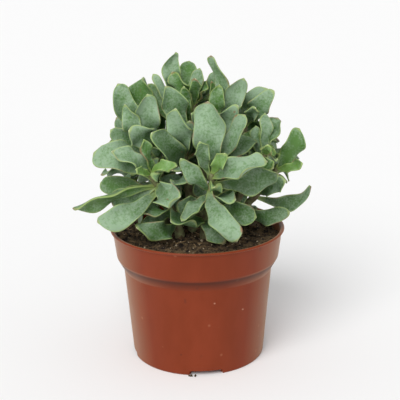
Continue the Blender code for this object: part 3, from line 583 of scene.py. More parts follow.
def rippled(draw, width, twist, arch, bow_low, bow_high):
    """How one leaf is rippled: drawn anew for each, and stronger on a broad leaf."""
    return {
        "waves": draw.uniform(*WAVES), "phase": draw.random(), "lag": draw.uniform(*LAGS),
        "ripple": width * draw.uniform(*RIPPLES), "fold": draw.uniform(*FOLDS),
        "twist": math.radians(twist) * draw.choice((-1, 1)), "arch": arch,
        "point": draw.uniform(*BLUNTNESS), "curl": width * draw.uniform(*CURLS),
        "bow_low": bow_low, "bow_high": bow_high,
    }


class Clearing:
    """The leaves and stems placed so far, which each new leaf is kept clear of."""

    def __init__(self):
        self.placed = []
        self.pattern = template(TEST_SIDES, TEST_RINGS)
        self.blade_only = [t for t in self.pattern[3].tolist() if min(self.pattern[0][t]) > ROOT_CLEAR]

    def add(self, owner, points, triangles):
        tree = BVHTree.FromPolygons(points.tolist(), triangles, all_triangles=True)
        self.placed.append((owner, points.min(0), points.max(0), tree))

    def add_leaf(self, owner, leaf):
        self.add(owner, blade(leaf, *self.pattern[:3]), self.pattern[3].tolist())

    def listed_leaves(self, leaves):
        """One tree of all the leaves placed so far."""
        points, triangles = [], []
        for leaf in (leaf for group in leaves.values() for leaf in group):
            triangles += (self.pattern[3] + len(points)).tolist()
            points += blade(leaf, *self.pattern[:3]).tolist()
        return BVHTree.FromPolygons(points, triangles, all_triangles=True)

    def crossings(self, owner, leaf):
        """How many triangles cross a neighbour: of the whole leaf with room to spare on other nodes, and of
        the blade past its root on its own."""
        roomy = blade(leaf, *self.pattern[:3], margin=CLEARANCE)
        own = blade(leaf, *self.pattern[:3], margin=0.1)
        low, high = roomy.min(0), roomy.max(0)
        trees = {}
        count = [int(strikes_pot(leaf)), 0]
        for other, other_low, other_high, tree in self.placed:
            if (low > other_high).any() or (high < other_low).any():
                continue
            mine = other == owner
            if mine not in trees:
                points, triangles = (own, self.blade_only) if mine else (roomy, self.pattern[3].tolist())
                trees[mine] = BVHTree.FromPolygons(points.tolist(), triangles, all_triangles=True)
            count[mine] += len(trees[mine].overlap(tree))
        return count


def strikes_pot(leaf):
    """Whether a leaf's middle surface comes within its thickness of the pot's wall or the soil."""
    along, across = np.meshgrid(np.linspace(0.2, 1, 25), (-1.0, -0.5, 0.0, 0.5, 1.0))
    points = blade(leaf, along.ravel(), across.ravel(), np.zeros(along.size))
    out, height = np.hypot(points[:, 0], points[:, 1]), points[:, 2]
    near = CLEARANCE + LEAF_THICKNESS / 2
    in_wall = (height < POT_HEIGHT + near) & (out > wall_inside(height) - near) & (out < RIM_RADIUS + near)
    in_soil = (height < soil_height(points[:, 0], points[:, 1]) + near) & (out < RIM_RADIUS)
    return (in_wall | in_soil).any()


def front_tries(entry, points, look):
    """A front leaf as listed, and then rolled, with its tip moved along the line of sight, and
    shortened."""
    height, right, up, depth, width, roll = entry[:6]
    root, _ = at_height(points, height)
    to_viewer = (EYE - root).normalized()
    for length in FRONT_LENGTHS:
        for shift in DEPTH_SHIFTS:
            tip = view(right, up, depth + shift)
            for turn in ROLLS:
                yield leaf_between(root, root + (tip - root) * length, to_viewer,
                                   width * (0.4 + 0.6 * length), math.radians(roll + turn), look)


def pair_tries(points, height, bearing, share, longest, draw, look):
    """A leaf of a pair at this height: long and spreading low on the stem, short and steep near its tip."""
    root, way = at_height(points, height)
    side = Vector((math.cos(bearing), math.sin(bearing), 0))
    out = (side - way * side.dot(way)).normalized()
    tilt = math.radians(PAIR_TILT - PAIR_TILT_LOSS * share ** 1.4) + draw.uniform(*TILT_DRAW)
    reach = longest * (1 - PAIR_LENGTH_LOSS * share ** 2.2) * draw.uniform(*LENGTH_DRAW)
    width = PAIR_BREADTH * longest * (1 - PAIR_WIDTH_LOSS * share ** 2) * draw.uniform(*WIDTH_DRAW)
    for swing in SWINGS:
        toward = Matrix.Rotation(swing, 3, way) @ out
        for lean in LEANS:
            ahead = way * math.cos(tilt + lean) + toward * math.sin(tilt + lean)
            for length in PAIR_LENGTHS:
                tip = root + ahead * reach * length
                away = tip - REACH_CENTRE
                if Vector((away.x / REACH.x, away.y / REACH.y, away.z / REACH.z)).length <= 1:
                    yield leaf_between(root, tip, way, width * (0.5 + 0.5 * length), 0.0, look)


def spoils_front(leaf, front):
    """Whether a leaf would hide more than a little of a listed front leaf, or leave the front's outline."""
    along, across = np.meshgrid((0.4, 0.55, 0.7, 0.85, 1.0), (-0.9, 0.0, 0.9))
    points = blade(leaf, along.ravel(), across.ravel(), np.zeros(15))
    hidden = 0
    for point in points.tolist():
        if not inside_outline(place_in_view(point)):
            return True
        point = Vector(point)
        sight = (point - EYE).normalized()
        hidden += front.ray_cast(point + sight, sight)[0] is not None
    return hidden > HIDDEN_MOST


def arrange():
    """All leaves, stem by stem: the front ones nearest to their listed places, then the pairs."""
    clearing = Clearing()
    runs = {name: run_points(name) for name in STEMS}
    stem_pattern = template(STEM_SIDES, STEM_RINGS)
    for name, points in runs.items():
        clearing.add(name, stem_points(points, *stem_pattern[:3]), stem_pattern[3].tolist())
    leaves = {name: [] for name in STEMS}
    draw = random.Random(SEED)
    for name, entries in FRONT_LEAVES.items():
        for entry, tint in zip(entries, FRONT_TINTS[name]):
            look = rippled(draw, entry[4], *entry[6:])
            best = None
            for leaf in front_tries(entry, runs[name], look):
                found = clearing.crossings(name, leaf)
                if best is None or found < best[0]:
                    best = (found, leaf)
                if not any(found):
                    break
            if not best[0][0]:
                leaves[name].append(dict(best[1], tint=tint))
                clearing.add_leaf(name, best[1])
    front = clearing.listed_leaves(leaves)
    for name, (low, high, count, first, longest) in PAIRS.items():
        for k in range(count):
            share = k / max(count - 1, 1)
            height = low + (high - low) * share ** 0.8
            for half_turn in (0, math.pi):
                bearing = math.radians(first + 90 * k) + half_turn
                look = rippled(draw, RIPPLED_WIDTH * longest, draw.uniform(*TWIST_DRAW),
                               draw.uniform(*ARCH_DRAW), draw.uniform(*BOW_DRAW), draw.uniform(*BOW_DRAW))
                for leaf in pair_tries(runs[name], height, bearing, share, longest, draw, look):
                    if not spoils_front(leaf, front) and not any(clearing.crossings(name, leaf)):
                        leaves[name].append(dict(leaf, share=share))
                        clearing.add_leaf(name, leaf)
                        break
    return runs, leaves


def stem_points(points, along, cosine, sine):
    """A round stem along its run, thick at the foot and slim at the tip."""
    placed = []
    for u, c, s in zip(along, cosine, sine):
        middle, way = at_share(points, float(u))
        aside = way.cross(Vector((0, 1, 0))).normalized()
        radius = STEM_FOOT_RADIUS + (STEM_TIP_RADIUS - STEM_FOOT_RADIUS) * u ** 0.8
        placed.append(middle + (aside * c + way.cross(aside) * s) * radius)
    return np.array(placed)


def turned(profile, steps):
    """A round body from its (radius, height) outline, turned about the pot's axis."""
    bm = bmesh.new()
    verts = [bm.verts.new((radius, 0, height)) for radius, height in profile]
    ends_on_axis = profile[0][0] == 0 and profile[-1][0] == 0
    for k, v in enumerate(verts[1:]):
        bm.edges.new((verts[k], v))
    if not ends_on_axis:
        bm.edges.new((verts[-1], verts[0]))
    bmesh.ops.spin(bm, geom=bm.verts[:] + bm.edges[:], cent=(0, 0, 0), axis=(0, 0, 1), angle=math.tau,
                   steps=steps, use_merge=True, use_duplicate=False)
    bmesh.ops.remove_doubles(bm, verts=bm.verts, dist=0.001)
    bmesh.ops.dissolve_degenerate(bm, edges=bm.edges, dist=0.001)
    bmesh.ops.recalc_face_normals(bm, faces=bm.faces)
    return bm


def pot_profile():
    """The pot wall as one closed outline: down the outside, round the foot, and up the inside."""
    lip_bottom = POT_HEIGHT - LIP_HEIGHT
    return [
        (RIM_RADIUS - 0.7, POT_HEIGHT), (RIM_RADIUS, POT_HEIGHT - 0.5), (RIM_RADIUS, lip_bottom + 0.3),
        (COLLAR_TOP_RADIUS, lip_bottom - 0.2),
        (COLLAR_BOTTOM_RADIUS + 0.1, COLLAR_BOTTOM + 0.9),
        (COLLAR_BOTTOM_RADIUS - 0.5, COLLAR_BOTTOM - 0.3),
        (BODY_TOP_RADIUS + 0.5, SHOULDER_BOTTOM + 0.5), (BODY_TOP_RADIUS, SHOULDER_BOTTOM - 0.6),
        (FOOT_RADIUS + 0.1, 1.0), (FOOT_RADIUS - 0.3, 0.0), (FOOT_RADIUS - FOOT_WIDTH, 0.0),
        (FOOT_RADIUS - FOOT_WIDTH, FLOOR_UNDERSIDE), (0.0, FLOOR_UNDERSIDE),
        (0.0, FLOOR_UNDERSIDE + FLOOR_THICKNESS),
    ] + inner_wall()


def rod(radius, low, high, x, y, sides):
    """An upright closed cylinder."""
    bm = bmesh.new()
    bmesh.ops.create_cone(bm, cap_ends=True, segments=sides, radius1=radius, radius2=radius,
                          depth=high - low, matrix=Matrix.Translation((x, y, (low + high) / 2)))
    return bm


def notch_cutter(angle):
    """A low block with rounded upper corners, set across the foot ring."""
    bm = bmesh.new()
    place = Matrix.Rotation(angle, 4, "Z") @ Matrix.Translation((FOOT_RADIUS, 0, 0))
    size = Matrix.Diagonal((3 * FOOT_WIDTH, NOTCH_WIDTH, 2 * NOTCH_HEIGHT, 1))
    bmesh.ops.create_cube(bm, size=1, matrix=place @ size)
    upper = [e for e in bm.edges if min(v.co.z for v in e.verts) > 0
             and abs((e.verts[0].co - e.verts[1].co).length - 3 * FOOT_WIDTH) < 0.01]
    bmesh.ops.bevel(bm, geom=upper, offset=NOTCH_CORNER, segments=6, profile=0.5, affect="EDGES",
                    material=-1)
    return bm


def linear(hex_colour):
    """A display colour such as "8A5A3C" as the linear light that a shader takes."""
    levels = [int(hex_colour[k:k + 2], 16) / 255 for k in (0, 2, 4)]
    return tuple(v / 12.92 if v <= 0.04045 else ((v + 0.055) / 1.055) ** 2.4 for v in levels) + (1.0,)


def node(tree, kind, links=None, gives=0, **settings):
    """Adds a node with its settings and returns one of its outputs, or the node where gives is None. links
    gives each input, by its name or place, either a value or another node's output."""
    made = tree.nodes.new("ShaderNode" + kind)
    for name, value in settings.items():
        setattr(made, name, value)
    for socket, value in (links or {}).items():
        if isinstance(value, bpy.types.NodeSocket):
            tree.links.new(value, made.inputs[socket])
        else:
            made.inputs[socket].default_value = value
    return made if gives is None else made.outputs[gives]


def surface(name):
    """A fresh material, its empty tree, and the place on the piece that its patterns follow."""
    material = bpy.data.materials.new(name)
    material.use_nodes = True
    tree = material.node_tree
    tree.nodes.clear()
    return material, tree, node(tree, "TexCoord", gives="Object")


def finished(material, sockets):
    """Gives a material its main shader, with these sockets."""
    tree = material.node_tree
    shader = node(tree, "BsdfPrincipled", sockets)
    node(tree, "OutputMaterial", {"Surface": shader}, gives=None)
    return material


def grain(size):
    """The scale of a pattern whose features are this many millimetres across."""
    return 1 / (size * MM)


def mottled(name, first, second, size, detail, uneven, between, relief_strength, relief_height):
    """What soil, stone, straw and bark share: two colours mottled at a grain of this many millimetres, and
    a relief that follows it. Gives the material, its tree, the place on the piece and the shader's
    sockets."""
    material, tree, place = surface(name)
    mottle = node(tree, "TexNoise",
                  {"Vector": place, "Scale": grain(size), "Detail": detail, "Roughness": uneven})
    share = node(tree, "MapRange",
                 {"Value": mottle, "From Min": between[0], "From Max": between[1]})
    colour = node(tree, "Mix", {MIX_FACTOR: share, MIX_A: tuple(first), MIX_B: tuple(second)},
                  MIX_RESULT, data_type="RGBA")
    bump = node(tree, "Bump",
                {"Strength": relief_strength, "Distance": relief_height * MM, "Height": mottle})
    return material, tree, place, {"Base Color": colour, "Normal": bump}


def marked(tree, place, spots):
    """Where these marks lie, 0 to 1: each a place in the front view (right, up), its depth and its radius,
    in millimetres. The marks have ragged edges and reach deeper than they are wide, to meet a slanting
    surface."""
    ragged = node(tree, "TexNoise", {"Vector": place, "Scale": grain(2.0), "Detail": 2.0})
    found = None
    for right, up, depth, radius in spots:
        middle = tuple(view(right, up, depth) * MM)
        offset = node(tree, "VectorMath", {0: place, 1: middle}, operation="SUBTRACT")
        flat = node(tree, "VectorMath", {0: offset, 1: (1.0, MARK_REACH, 1.0)},
                    operation="MULTIPLY")
        far = node(tree, "VectorMath", {0: flat}, "Value", operation="LENGTH")
        torn = node(tree, "Math", {0: ragged, 1: radius * MM, 2: far}, operation="MULTIPLY_ADD")
        here = node(tree, "MapRange", {
            "Value": torn, "From Min": radius * MM, "From Max": 1.5 * radius * MM,
            "To Min": 1.0, "To Max": 0.0})
        if found is not None:
            here = node(tree, "Math", {0: found, 1: here}, operation="MAXIMUM")
        found = here
    return found


def leaf_skin(look):
    """Living leaf of a ripple jade, grown: green flesh under a pale blue-green bloom that rubs off in
    patches. The eye sees soft mottled grey-green, deep green where the bloom is thin, lime on the newest
    leaves, and a thin yellow-green margin that reddens here and there. Painted shade darkens each leaf
    towards its root. The bloom is thickest at the margin and thinnest at the root, and this also paints a
    lighter rim and shade at the root."""
    material, tree, place = surface("jade_leaf_skin")
    inset, along, bloom, youth, tone = (
        node(tree, "Attribute", gives="Fac", attribute_name=layer) for layer in LEAF_LAYERS)

    # Bloom lies in patches about 5 mm across, broken by pores drawn 1.4 mm apart, as real ones are too fine
    # to show. The margin reddens over stretches of 9 mm, and a few brown corky marks are 2 to 3 mm across.
    patches, pores, reddening, corks = (
        node(tree, "TexNoise",
             {"Vector": place, "Scale": grain(size), "Detail": detail, "Roughness": uneven})
        for size, detail, uneven in ((5.0, 3.0, 0.5), (1.4, 2.0, 0.6), (9.0, 1.0, 0.5), (7.0, 2.0, 0.7)))

    # Each share: what it follows, the two values that it runs between there, and how much it is at each.
    # Bloom thickens towards the margin and thins along the middle and towards the root. This also paints
    # light along the rim and shade in the middle and at the root. Each leaf is a little lighter or darker
    # than its neighbours, and painted shade darkens it towards its root, where it pales to yellow-green as
    # it clasps the stem.
    share = {name: node(tree, "MapRange", {0: follows, 1: low, 2: high, 3: at_low, 4: at_high})
             for name, follows, low, high, at_low, at_high in (
                 ("rubbed", patches, 0.35, 0.65, -0.2, 0.2),
                 ("pitted", pores, 0.35, 0.65, -0.34, 0.34),
                 ("root_bloom_and_shade", along, 0.1, 0.6, 0.35, 1.0),
                 ("margin_bloom_and_light", inset, 0.5, 5.5, 0.24, -0.12),
                 ("lighter", tone, -1.0, 1.0, 0.74, 1.28),
                 ("painted_root_shade", along, 0.0, 0.6, 0.55, 1.02),
                 ("red", reddening, 0.56, 0.72, 0.0, 1.0),
                 ("margin", inset, 0.3, look.margin_width / MM, 0.6, 0.0),
                 ("clasp", along, 0.02, 0.16, 0.7, 0.0),
                 ("point", along, 0.985, 1.0, 0.0, 1.0),
                 ("cork", corks, 0.73, 0.77, 0.0, 0.75))}
    # The bloom's share, with its painted light at the rim and painted shade towards the root
    powder = node(tree, "Math", {0: bloom, 1: share["root_bloom_and_shade"]}, operation="MULTIPLY")
    for more in ("margin_bloom_and_light", "rubbed", "pitted"):
        powder = node(tree, "Math", {0: powder, 1: share[more]}, operation="ADD",
                      use_clamp=more == "pitted")
    # Each leaf's tone, times painted shade that darkens it towards its root
    tone_and_root_shade = node(tree, "Math", {0: share["lighter"], 1: share["painted_root_shade"]}, operation="MULTIPLY")

    # The colours in layers: flesh and bloom first, made lighter or deeper, then new growth, the margin, the
    # clasp, the dry white point, the corky marks and the brown dried places on two leaves
    rim = node(tree, "Mix",
               {MIX_FACTOR: share["red"], MIX_A: tuple(look.margin), MIX_B: tuple(look.red_margin)},
               MIX_RESULT, data_type="RGBA")
    skin = node(tree, "Mix",
                {MIX_FACTOR: powder, MIX_A: tuple(look.flesh), MIX_B: tuple(look.bloom)},
                MIX_RESULT, data_type="RGBA")
    skin = node(tree, "HueSaturation", {"Value": tone_and_root_shade, "Color": skin})
    for amount, colour in (
            (youth, tuple(look.new_growth)), (share["margin"], rim), (share["clasp"], tuple(look.margin)),
            (share["point"], linear("D9D5B4")), (share["cork"], linear("7A6146")),
            (marked(tree, place, LEAF_SCARS), linear("8A6B4C"))):
        skin = node(tree, "Mix", {MIX_FACTOR: amount, MIX_A: skin, MIX_B: colour}, MIX_RESULT,
                    data_type="RGBA")

    # Waxy where the bloom is thin and matt where it is thick
    matt = node(tree, "MapRange", {"Value": powder, "To Min": 0.4, "To Max": 0.62})
    relief_of_skin = node(tree, "Math", {0: patches, 1: pores}, operation="ADD")
    bump = node(tree, "Bump", {"Strength": 0.25, "Distance": 0.4 * MM, "Height": relief_of_skin})
    return finished(material, {
        "Base Color": skin, "Roughness": matt, "Normal": bump, "IOR": 1.45, "Subsurface Weight": 0.12,
        "Subsurface Radius": (0.5, 1.0, 0.25), "Subsurface Scale": 1.5 * MM})


def stem_bark(look):
    """Young succulent stem, grown: green-brown and ringed with old leaf scars."""
    material, _, _, sockets = mottled("jade_stem_bark", look.bark, linear("7C8458"), 4.0, 4.0, 0.65,
                                      (0.35, 0.65), 0.5, 0.6)
    return finished(material, dict(sockets, Roughness=0.7))


def moulded_polypropylene(look):
    """Polypropylene, injection moulded: an even brick colour with a satin skin. The eye sees faint clouding
    where the melt flowed, fine orange-peel, and a few pale scuffs and dark specks of soil. A painted tan
    reflection lies where the skin turns away, and painted shade lies under the collar's edge."""
    material, tree, place = surface("moulded_polypropylene")
    drawn = node(tree, "Mapping", {"Vector": place, "Scale": (1.0, 1.0, 0.45)})
    clouds, mask, peel = (
        node(tree, "TexNoise", {"Vector": where, "Scale": grain(size), "Detail": detail})
        for where, size, detail in ((drawn, 14.0, 4.0), (place, 24.0, 1.0), (place, 1.6, 2.0)))
    scuffs, specks = (
        node(tree, "TexVoronoi", {"Vector": where, "Scale": grain(size)})
        for where, size in ((place, 13.0), (drawn, 9.0)))
    facing = node(tree, "LayerWeight", {"Blend": 0.35}, "Facing")
    height = node(tree, "SeparateXYZ", {"Vector": place}, "Z")

    # Each share: what it follows, the two values that it runs between there, and how much it is at each.
    # Scuffs and specks are 1 to 2 mm marks in cells of 13 and 9 mm, most of them masked away. A painted tan
    # reflection pales the skin where it turns away, and painted shade darkens the shoulder just under the
    # collar's edge, fading down towards the body.
    share = {name: node(tree, "MapRange", {0: follows, 1: low, 2: high, 3: at_low, 4: at_high})
             for name, follows, low, high, at_low, at_high in (
                 ("cloudy", clouds, 0.35, 0.65, 0.0, 1.0),
                 ("scuff", scuffs, 0.05, 0.1, 1.0, 0.0),
                 ("worn", mask, 0.52, 0.6, 0.0, 0.2),
                 ("speck", specks, 0.06, 0.13, 1.0, 0.0),
                 ("soiled", mask, 0.53, 0.44, 0.0, 0.42),
                 ("painted_edge_reflection", facing, 0.3, 0.95, 0.0, 0.9),
                 ("under", height, (COLLAR_BOTTOM - 1.0) * MM, (COLLAR_BOTTOM + 0.1) * MM, 1.0, 0.0),
                 ("collar_shade_fade", height, (SHOULDER_BOTTOM + 0.2) * MM, (COLLAR_BOTTOM - 1.8) * MM, 0.0, 0.76),
                 ("satin", clouds, 0.3, 0.7, look.satin - 0.05, look.satin + 0.07))}
    # Scuffs, soil specks, painted shade under the collar, and the listed scuffs and soil marks
    scuffed, specked, painted_collar_shade, scraped, spattered = (
        node(tree, "Math", {0: first, 1: second}, operation="MULTIPLY")
        for first, second in (
            (share["scuff"], share["worn"]), (share["speck"], share["soiled"]),
            (share["under"], share["collar_shade_fade"]), (marked(tree, place, POT_SCUFFS), MARK_STRENGTH),
            (marked(tree, place, POT_DIRT), MARK_STRENGTH)))
    # Mixed in turn: flow clouding, scuffs, soil specks, a painted tan reflection where the skin turns away,
    # painted shade under the collar, then the listed scuffs and soil marks
    colour = tuple(look.plastic)
    for amount, tone in (
            (share["cloudy"], tuple(look.plastic_flow)), (scuffed, linear("C08A6C")),
            (specked, linear("4A2A20")), (share["painted_edge_reflection"], linear("A27A55")), (painted_collar_shade, linear("3E1C10")),
            (scraped, linear("B98A72")), (spattered, linear("43241A"))):
        colour = node(tree, "Mix", {MIX_FACTOR: amount, MIX_A: colour, MIX_B: tone}, MIX_RESULT,
                      data_type="RGBA")
    bump = node(tree, "Bump", {"Strength": 0.12, "Distance": 0.15 * MM, "Height": peel})
    return finished(material, {"Base Color": colour, "Roughness": share["satin"], "Normal": bump,
                               "IOR": 1.49, "Specular IOR Level": 0.18})


def peat(look):
    """Potting peat, milled and moist: matt brown-black crumbs with lighter brown fibre between them."""
    material, tree, place, sockets = mottled("milled_peat", look.wet_peat, look.dry_peat, 3.5, 4.0, 0.7,
                                             (0.4, 0.62), 0.8, 0.8)
    fibres = node(tree, "TexVoronoi", {"Vector": place, "Scale": grain(4.5)})
    pale = node(tree, "MapRange", {
        "Value": fibres, "From Min": 0.12, "From Max": 0.2, "To Min": 0.5, "To Max": 0.0})
    colour = node(tree, "Mix",
                  {MIX_FACTOR: pale, MIX_A: sockets["Base Color"], MIX_B: linear("8C7A60")},
                  MIX_RESULT, data_type="RGBA")
    return finished(material, {"Base Color": colour, "Normal": sockets["Normal"], "Roughness": 0.92,
                               "Specular IOR Level": 0.25})


def pale_grit(look):
    """Crushed stone grit: angular, dusty and buff."""
    material, _, _, sockets = mottled("crushed_grit", look.grit, linear("6E5C48"), 1.5, 3.0, 0.5,
                                      (0.0, 1.0), 0.4, 0.3)
    return finished(material, dict(sockets, Roughness=0.8))


def dry_straw(look):
    """Dry plant fibre: matt straw slivers, streaked along their length."""
    material, _, _, sockets = mottled("dry_straw", look.straw, linear("5A4530"), 2.0, 3.0, 0.5,
                                      (0.0, 1.0), 0.3, 0.2)
    return finished(material, dict(sockets, Roughness=0.75))


def paper_floor(look):
    """Seamless studio paper: matt, pale and very faintly mottled."""
    material, tree, place = surface("studio_paper")
    mottle = node(tree, "TexNoise", {"Vector": place, "Scale": grain(60.0), "Detail": 2.0})
    shade = node(tree, "MapRange", {"Value": mottle, "To Min": 0.997, "To Max": 1.003})
    colour = node(tree, "HueSaturation", {"Value": shade, "Color": tuple(look.floor)})
    return finished(material, {"Base Color": colour, "Roughness": 0.95, "Specular IOR Level": 0.0})


# What every colour's setting shares
COLOUR = {"size": 4, "min": 0, "max": 1, "subtype": "COLOR"}


class JadePotSettings(bpy.types.PropertyGroup):
    """Sizes and colours of the nursery pot."""
    steps: IntProperty(name="Steps round", description="Flats that make up the pot's round",
                       default=160, min=24)
    edge: FloatProperty(name="Moulded edge", description="Radius of the pot's rounded edges",
                        default=0.4 * MM, min=0.1 * MM, max=0.5 * MM, unit="LENGTH")
    plastic: FloatVectorProperty(name="Plastic", description="Colour of the pot",
                                 default=linear("752F14"), **COLOUR)
    plastic_flow: FloatVectorProperty(name="Flow marks", description="Colour where the plastic is clouded",
                                      default=linear("7C3319"), **COLOUR)
    satin: FloatProperty(name="Roughness", description="How matt the pot's satin skin is",
                         default=0.4, min=0.1, max=0.9, subtype="FACTOR")


class JadeSoilSettings(bpy.types.PropertyGroup):
    """Sizes and colours of the potting soil and what lies on it."""
    crumbs: IntProperty(name="Crumbs", description="Loose crumbs on the soil",
                        default=1500, min=0, max=4000)
    crumb_size: FloatProperty(name="Crumb", description="Size of an ordinary crumb", default=1.5 * MM,
                              min=0.5 * MM, max=4 * MM, unit="LENGTH")
    grit_pieces: IntProperty(name="Grit pieces", description="Pale stones on the soil",
                             default=260, min=0, max=600)
    straws: IntProperty(name="Straws", description="Dry fibres on the soil", default=46, min=0, max=300)
    wet_peat: FloatVectorProperty(name="Wet peat", description="Darkest colour of the soil",
                                  default=linear("18120E"), **COLOUR)
    dry_peat: FloatVectorProperty(name="Dry peat", description="Colour of the drier crumbs",
                                  default=linear("64523A"), **COLOUR)
    grit: FloatVectorProperty(name="Grit", description="Colour of the stones",
                              default=linear("C9B99B"), **COLOUR)
    straw: FloatVectorProperty(name="Straw", description="Colour of the dry fibres",
                               default=linear("A98C62"), **COLOUR)


class JadeLeafSettings(bpy.types.PropertyGroup):
    """Colours and fineness of the leafy stems."""
    sides: IntProperty(name="Sides", description="Points round a leaf's section", default=20, min=8, max=32)
    rings: IntProperty(name="Rings", description="Rings from a leaf's root to its tip",
                       default=34, min=8, max=60)
    margin_width: FloatProperty(name="Margin", description="Width of the coloured line round each leaf",
                                default=0.95 * MM, min=0.3 * MM, max=3 * MM, unit="LENGTH")
    flesh: FloatVectorProperty(name="Flesh", description="Green of a leaf without its bloom",
                               default=linear("446B2C"), **COLOUR)
    bloom: FloatVectorProperty(name="Bloom", description="Pale blue-green of the powdery bloom",
                               default=linear("7E9679"), **COLOUR)
    new_growth: FloatVectorProperty(name="New growth", description="Lime green of the newest leaves",
                                    default=linear("79A048"), **COLOUR)
    margin: FloatVectorProperty(name="Margin colour", description="Yellow-green line round each leaf",
                                default=linear("9AAE62"), **COLOUR)
    red_margin: FloatVectorProperty(name="Reddened margin", description="Colour of the reddened margin",
                                    default=linear("8E5F4A"), **COLOUR)
    bark: FloatVectorProperty(name="Bark", description="Brown of the stems",
                              default=linear("5E5038"), **COLOUR)


class JadeStageSettings(bpy.types.PropertyGroup):
    """The studio round the plant."""
    floor: FloatVectorProperty(name="Floor", description="Colour of the studio paper",
                               default=linear("F2F2F2"), **COLOUR)
    room_light: FloatProperty(name="Room light", description="Strength of the even light from all round",
                              default=0.5, min=0, max=4)
    horizon_light: FloatProperty(name="Horizon", description="Strength of the even light near the floor",
                                 default=0.96, min=0, max=4)
    key_light: FloatProperty(name="Key light", description="Strength of the soft light from the front left",
                             default=2.3, min=0, max=10)


def piece_of(bm, name, *materials):
    """An object at the origin from a bmesh drawn in millimetres, which is used up."""
    bmesh.ops.scale(bm, vec=(MM, MM, MM), verts=bm.verts)
    mesh = bpy.data.meshes.new(name)
    bm.to_mesh(mesh)
    bm.free()
    for material in materials:
        mesh.materials.append(material)
    obj = bpy.data.objects.new(name, mesh)
    bpy.context.scene.collection.objects.link(obj)
    return obj


def cut(obj, cutters):
    """Cuts a piece with other closed bodies, which are used up."""
    tools = bpy.data.collections.new("cutters")
    for cutter in cutters:
        tools.objects.link(cutter)
    modifier = obj.modifiers.new("cut", "BOOLEAN")
    modifier.operation = "DIFFERENCE"
    modifier.operand_type = "COLLECTION"
    modifier.collection = tools
    modifier.solver = "EXACT"
    shape = bpy.data.meshes.new_from_object(obj.evaluated_get(bpy.context.evaluated_depsgraph_get()))
    obj.modifiers.clear()
    obj.data = shape
    for cutter in cutters:
        bpy.data.objects.remove(cutter)
    bpy.data.collections.remove(tools)


def make_pot(look):
    """The pot: its wall turned in fine steps, its edges rounded, and the notches and drain holes cut."""
    bm = turned(pot_profile(), look.steps)
    corners = [e for e in bm.edges if len(e.link_faces) == 2 and e.calc_face_angle() > ROUNDED_FROM]
    bmesh.ops.bevel(bm, geom=corners, offset=look.edge / MM, segments=3, profile=0.5, affect="EDGES",
                    material=-1, clamp_overlap=True)
    pot = piece_of(bm, "nursery_pot", moulded_polypropylene(look))
    cutters = [piece_of(notch_cutter(NOTCH_FIRST + k * math.tau / NOTCH_COUNT), f"notch_{k}")
               for k in range(NOTCH_COUNT)]
    for k in range(DRAIN_COUNT):
        angle = (k + 0.5) * math.tau / DRAIN_COUNT
        x, y = DRAIN_CIRCLE * math.cos(angle), DRAIN_CIRCLE * math.sin(angle)
        drain = rod(DRAIN_RADIUS, -1, FLOOR_UNDERSIDE + DRAIN_CUT, x, y, DRAIN_SIDES)
        cutters.append(piece_of(drain, f"drain_{k}"))
    cut(pot, cutters)
    pot.data.shade_smooth()
    pot.data.set_sharp_from_angle(angle=SHARP_FROM)
    return pot


def relief(x, y):
    """The soil's top with its clods and crumbs."""
    clods = noise.fractal(Vector((x, y, 0)) / CLOD_SIZE, CLOD_ROUGHNESS, CLOD_DETAIL, CLOD_LEVELS)
    return soil_height(x, y) + CLOD_HEIGHT * clods


def make_soil(look):
    """The soil: a turned body whose top rings are lifted into clods."""
    edge = wall_inside(SOIL_LEVEL) - SOIL_GAP
    floor = FLOOR_UNDERSIDE + FLOOR_THICKNESS + SOIL_GAP
    top = [(edge * k / TOP_RINGS, SOIL_LEVEL) for k in range(TOP_RINGS + 1)]
    wall = [(wall_inside(height) - SOIL_GAP, height)
            for height in (COLLAR_BOTTOM, SHOULDER_BOTTOM - 1, floor)]
    bm = turned(top + wall + [(0.0, floor)], SOIL_STEPS)
    for v in bm.verts:
        if v.co.z > SOIL_LEVEL - 0.01:
            v.co.z = relief(v.co.x, v.co.y)
    soil = piece_of(bm, "potting_soil_bed", peat(look))
    soil.data.shade_smooth()
    return soil


def scatter(bm, draw, make, count):
    """Sets this many little pieces on the soil. Each is turned and placed by its own matrix."""
    edge = wall_inside(SOIL_LEVEL) - LITTER_MARGIN
    for _ in range(count):
        out, bearing = edge * math.sqrt(draw.random()), draw.uniform(0, math.tau)
        x, y = out * math.cos(bearing), out * math.sin(bearing)
        about_z = Matrix.Rotation(draw.uniform(0, math.tau), 4, "Z")
        make(bm, draw, x, y, about_z @ Matrix.Rotation(draw.uniform(0, math.tau), 4, "X"))


def crumb(size, flattest):
    """Gives a maker of rough lumps of about this size."""
    def make(bm, draw, x, y, turn):
        radius = size / 2 * draw.uniform(*LUMP_SIZES) * (BIG_LUMP if draw.random() < BIG_LUMPS_SHARE else 1)
        place = Matrix.Translation((x, y, relief(x, y) + LUMP_LIFT * radius))
        shape = Matrix.Diagonal((1, draw.uniform(*LUMP_BREADTHS), draw.uniform(flattest, 1), 1))
        lump = bmesh.ops.create_icosphere(bm, subdivisions=1, radius=radius, matrix=place @ turn @ shape)
        for v in lump["verts"]:
            v.co += Vector([draw.uniform(*LUMP_ROUGHNESS) * radius for _ in range(3)])
    return make


def straw(bm, draw, x, y, turn):
    """A dry fibre: a slim spindle, bent and laid on the soil."""
    length, radius, bend = (draw.uniform(*drawn) for drawn in (STRAW_LENGTHS, STRAW_RADII, STRAW_BENDS))
    made = bmesh.ops.create_uvsphere(bm, u_segments=5, v_segments=6, radius=1)["verts"]
    about_z = Matrix.Rotation(draw.uniform(0, math.tau), 4, "Z")
    flat = Matrix.Rotation(math.pi / 2 - draw.uniform(*STRAW_TILTS), 4, "Y")
    lay = Matrix.Translation((x, y, relief(x, y) + STRAW_LIFT)) @ about_z @ flat
    for v in made:
        v.co = lay @ Vector((v.co.x * radius + bend * v.co.z ** 2, v.co.y * radius, v.co.z * length / 2))


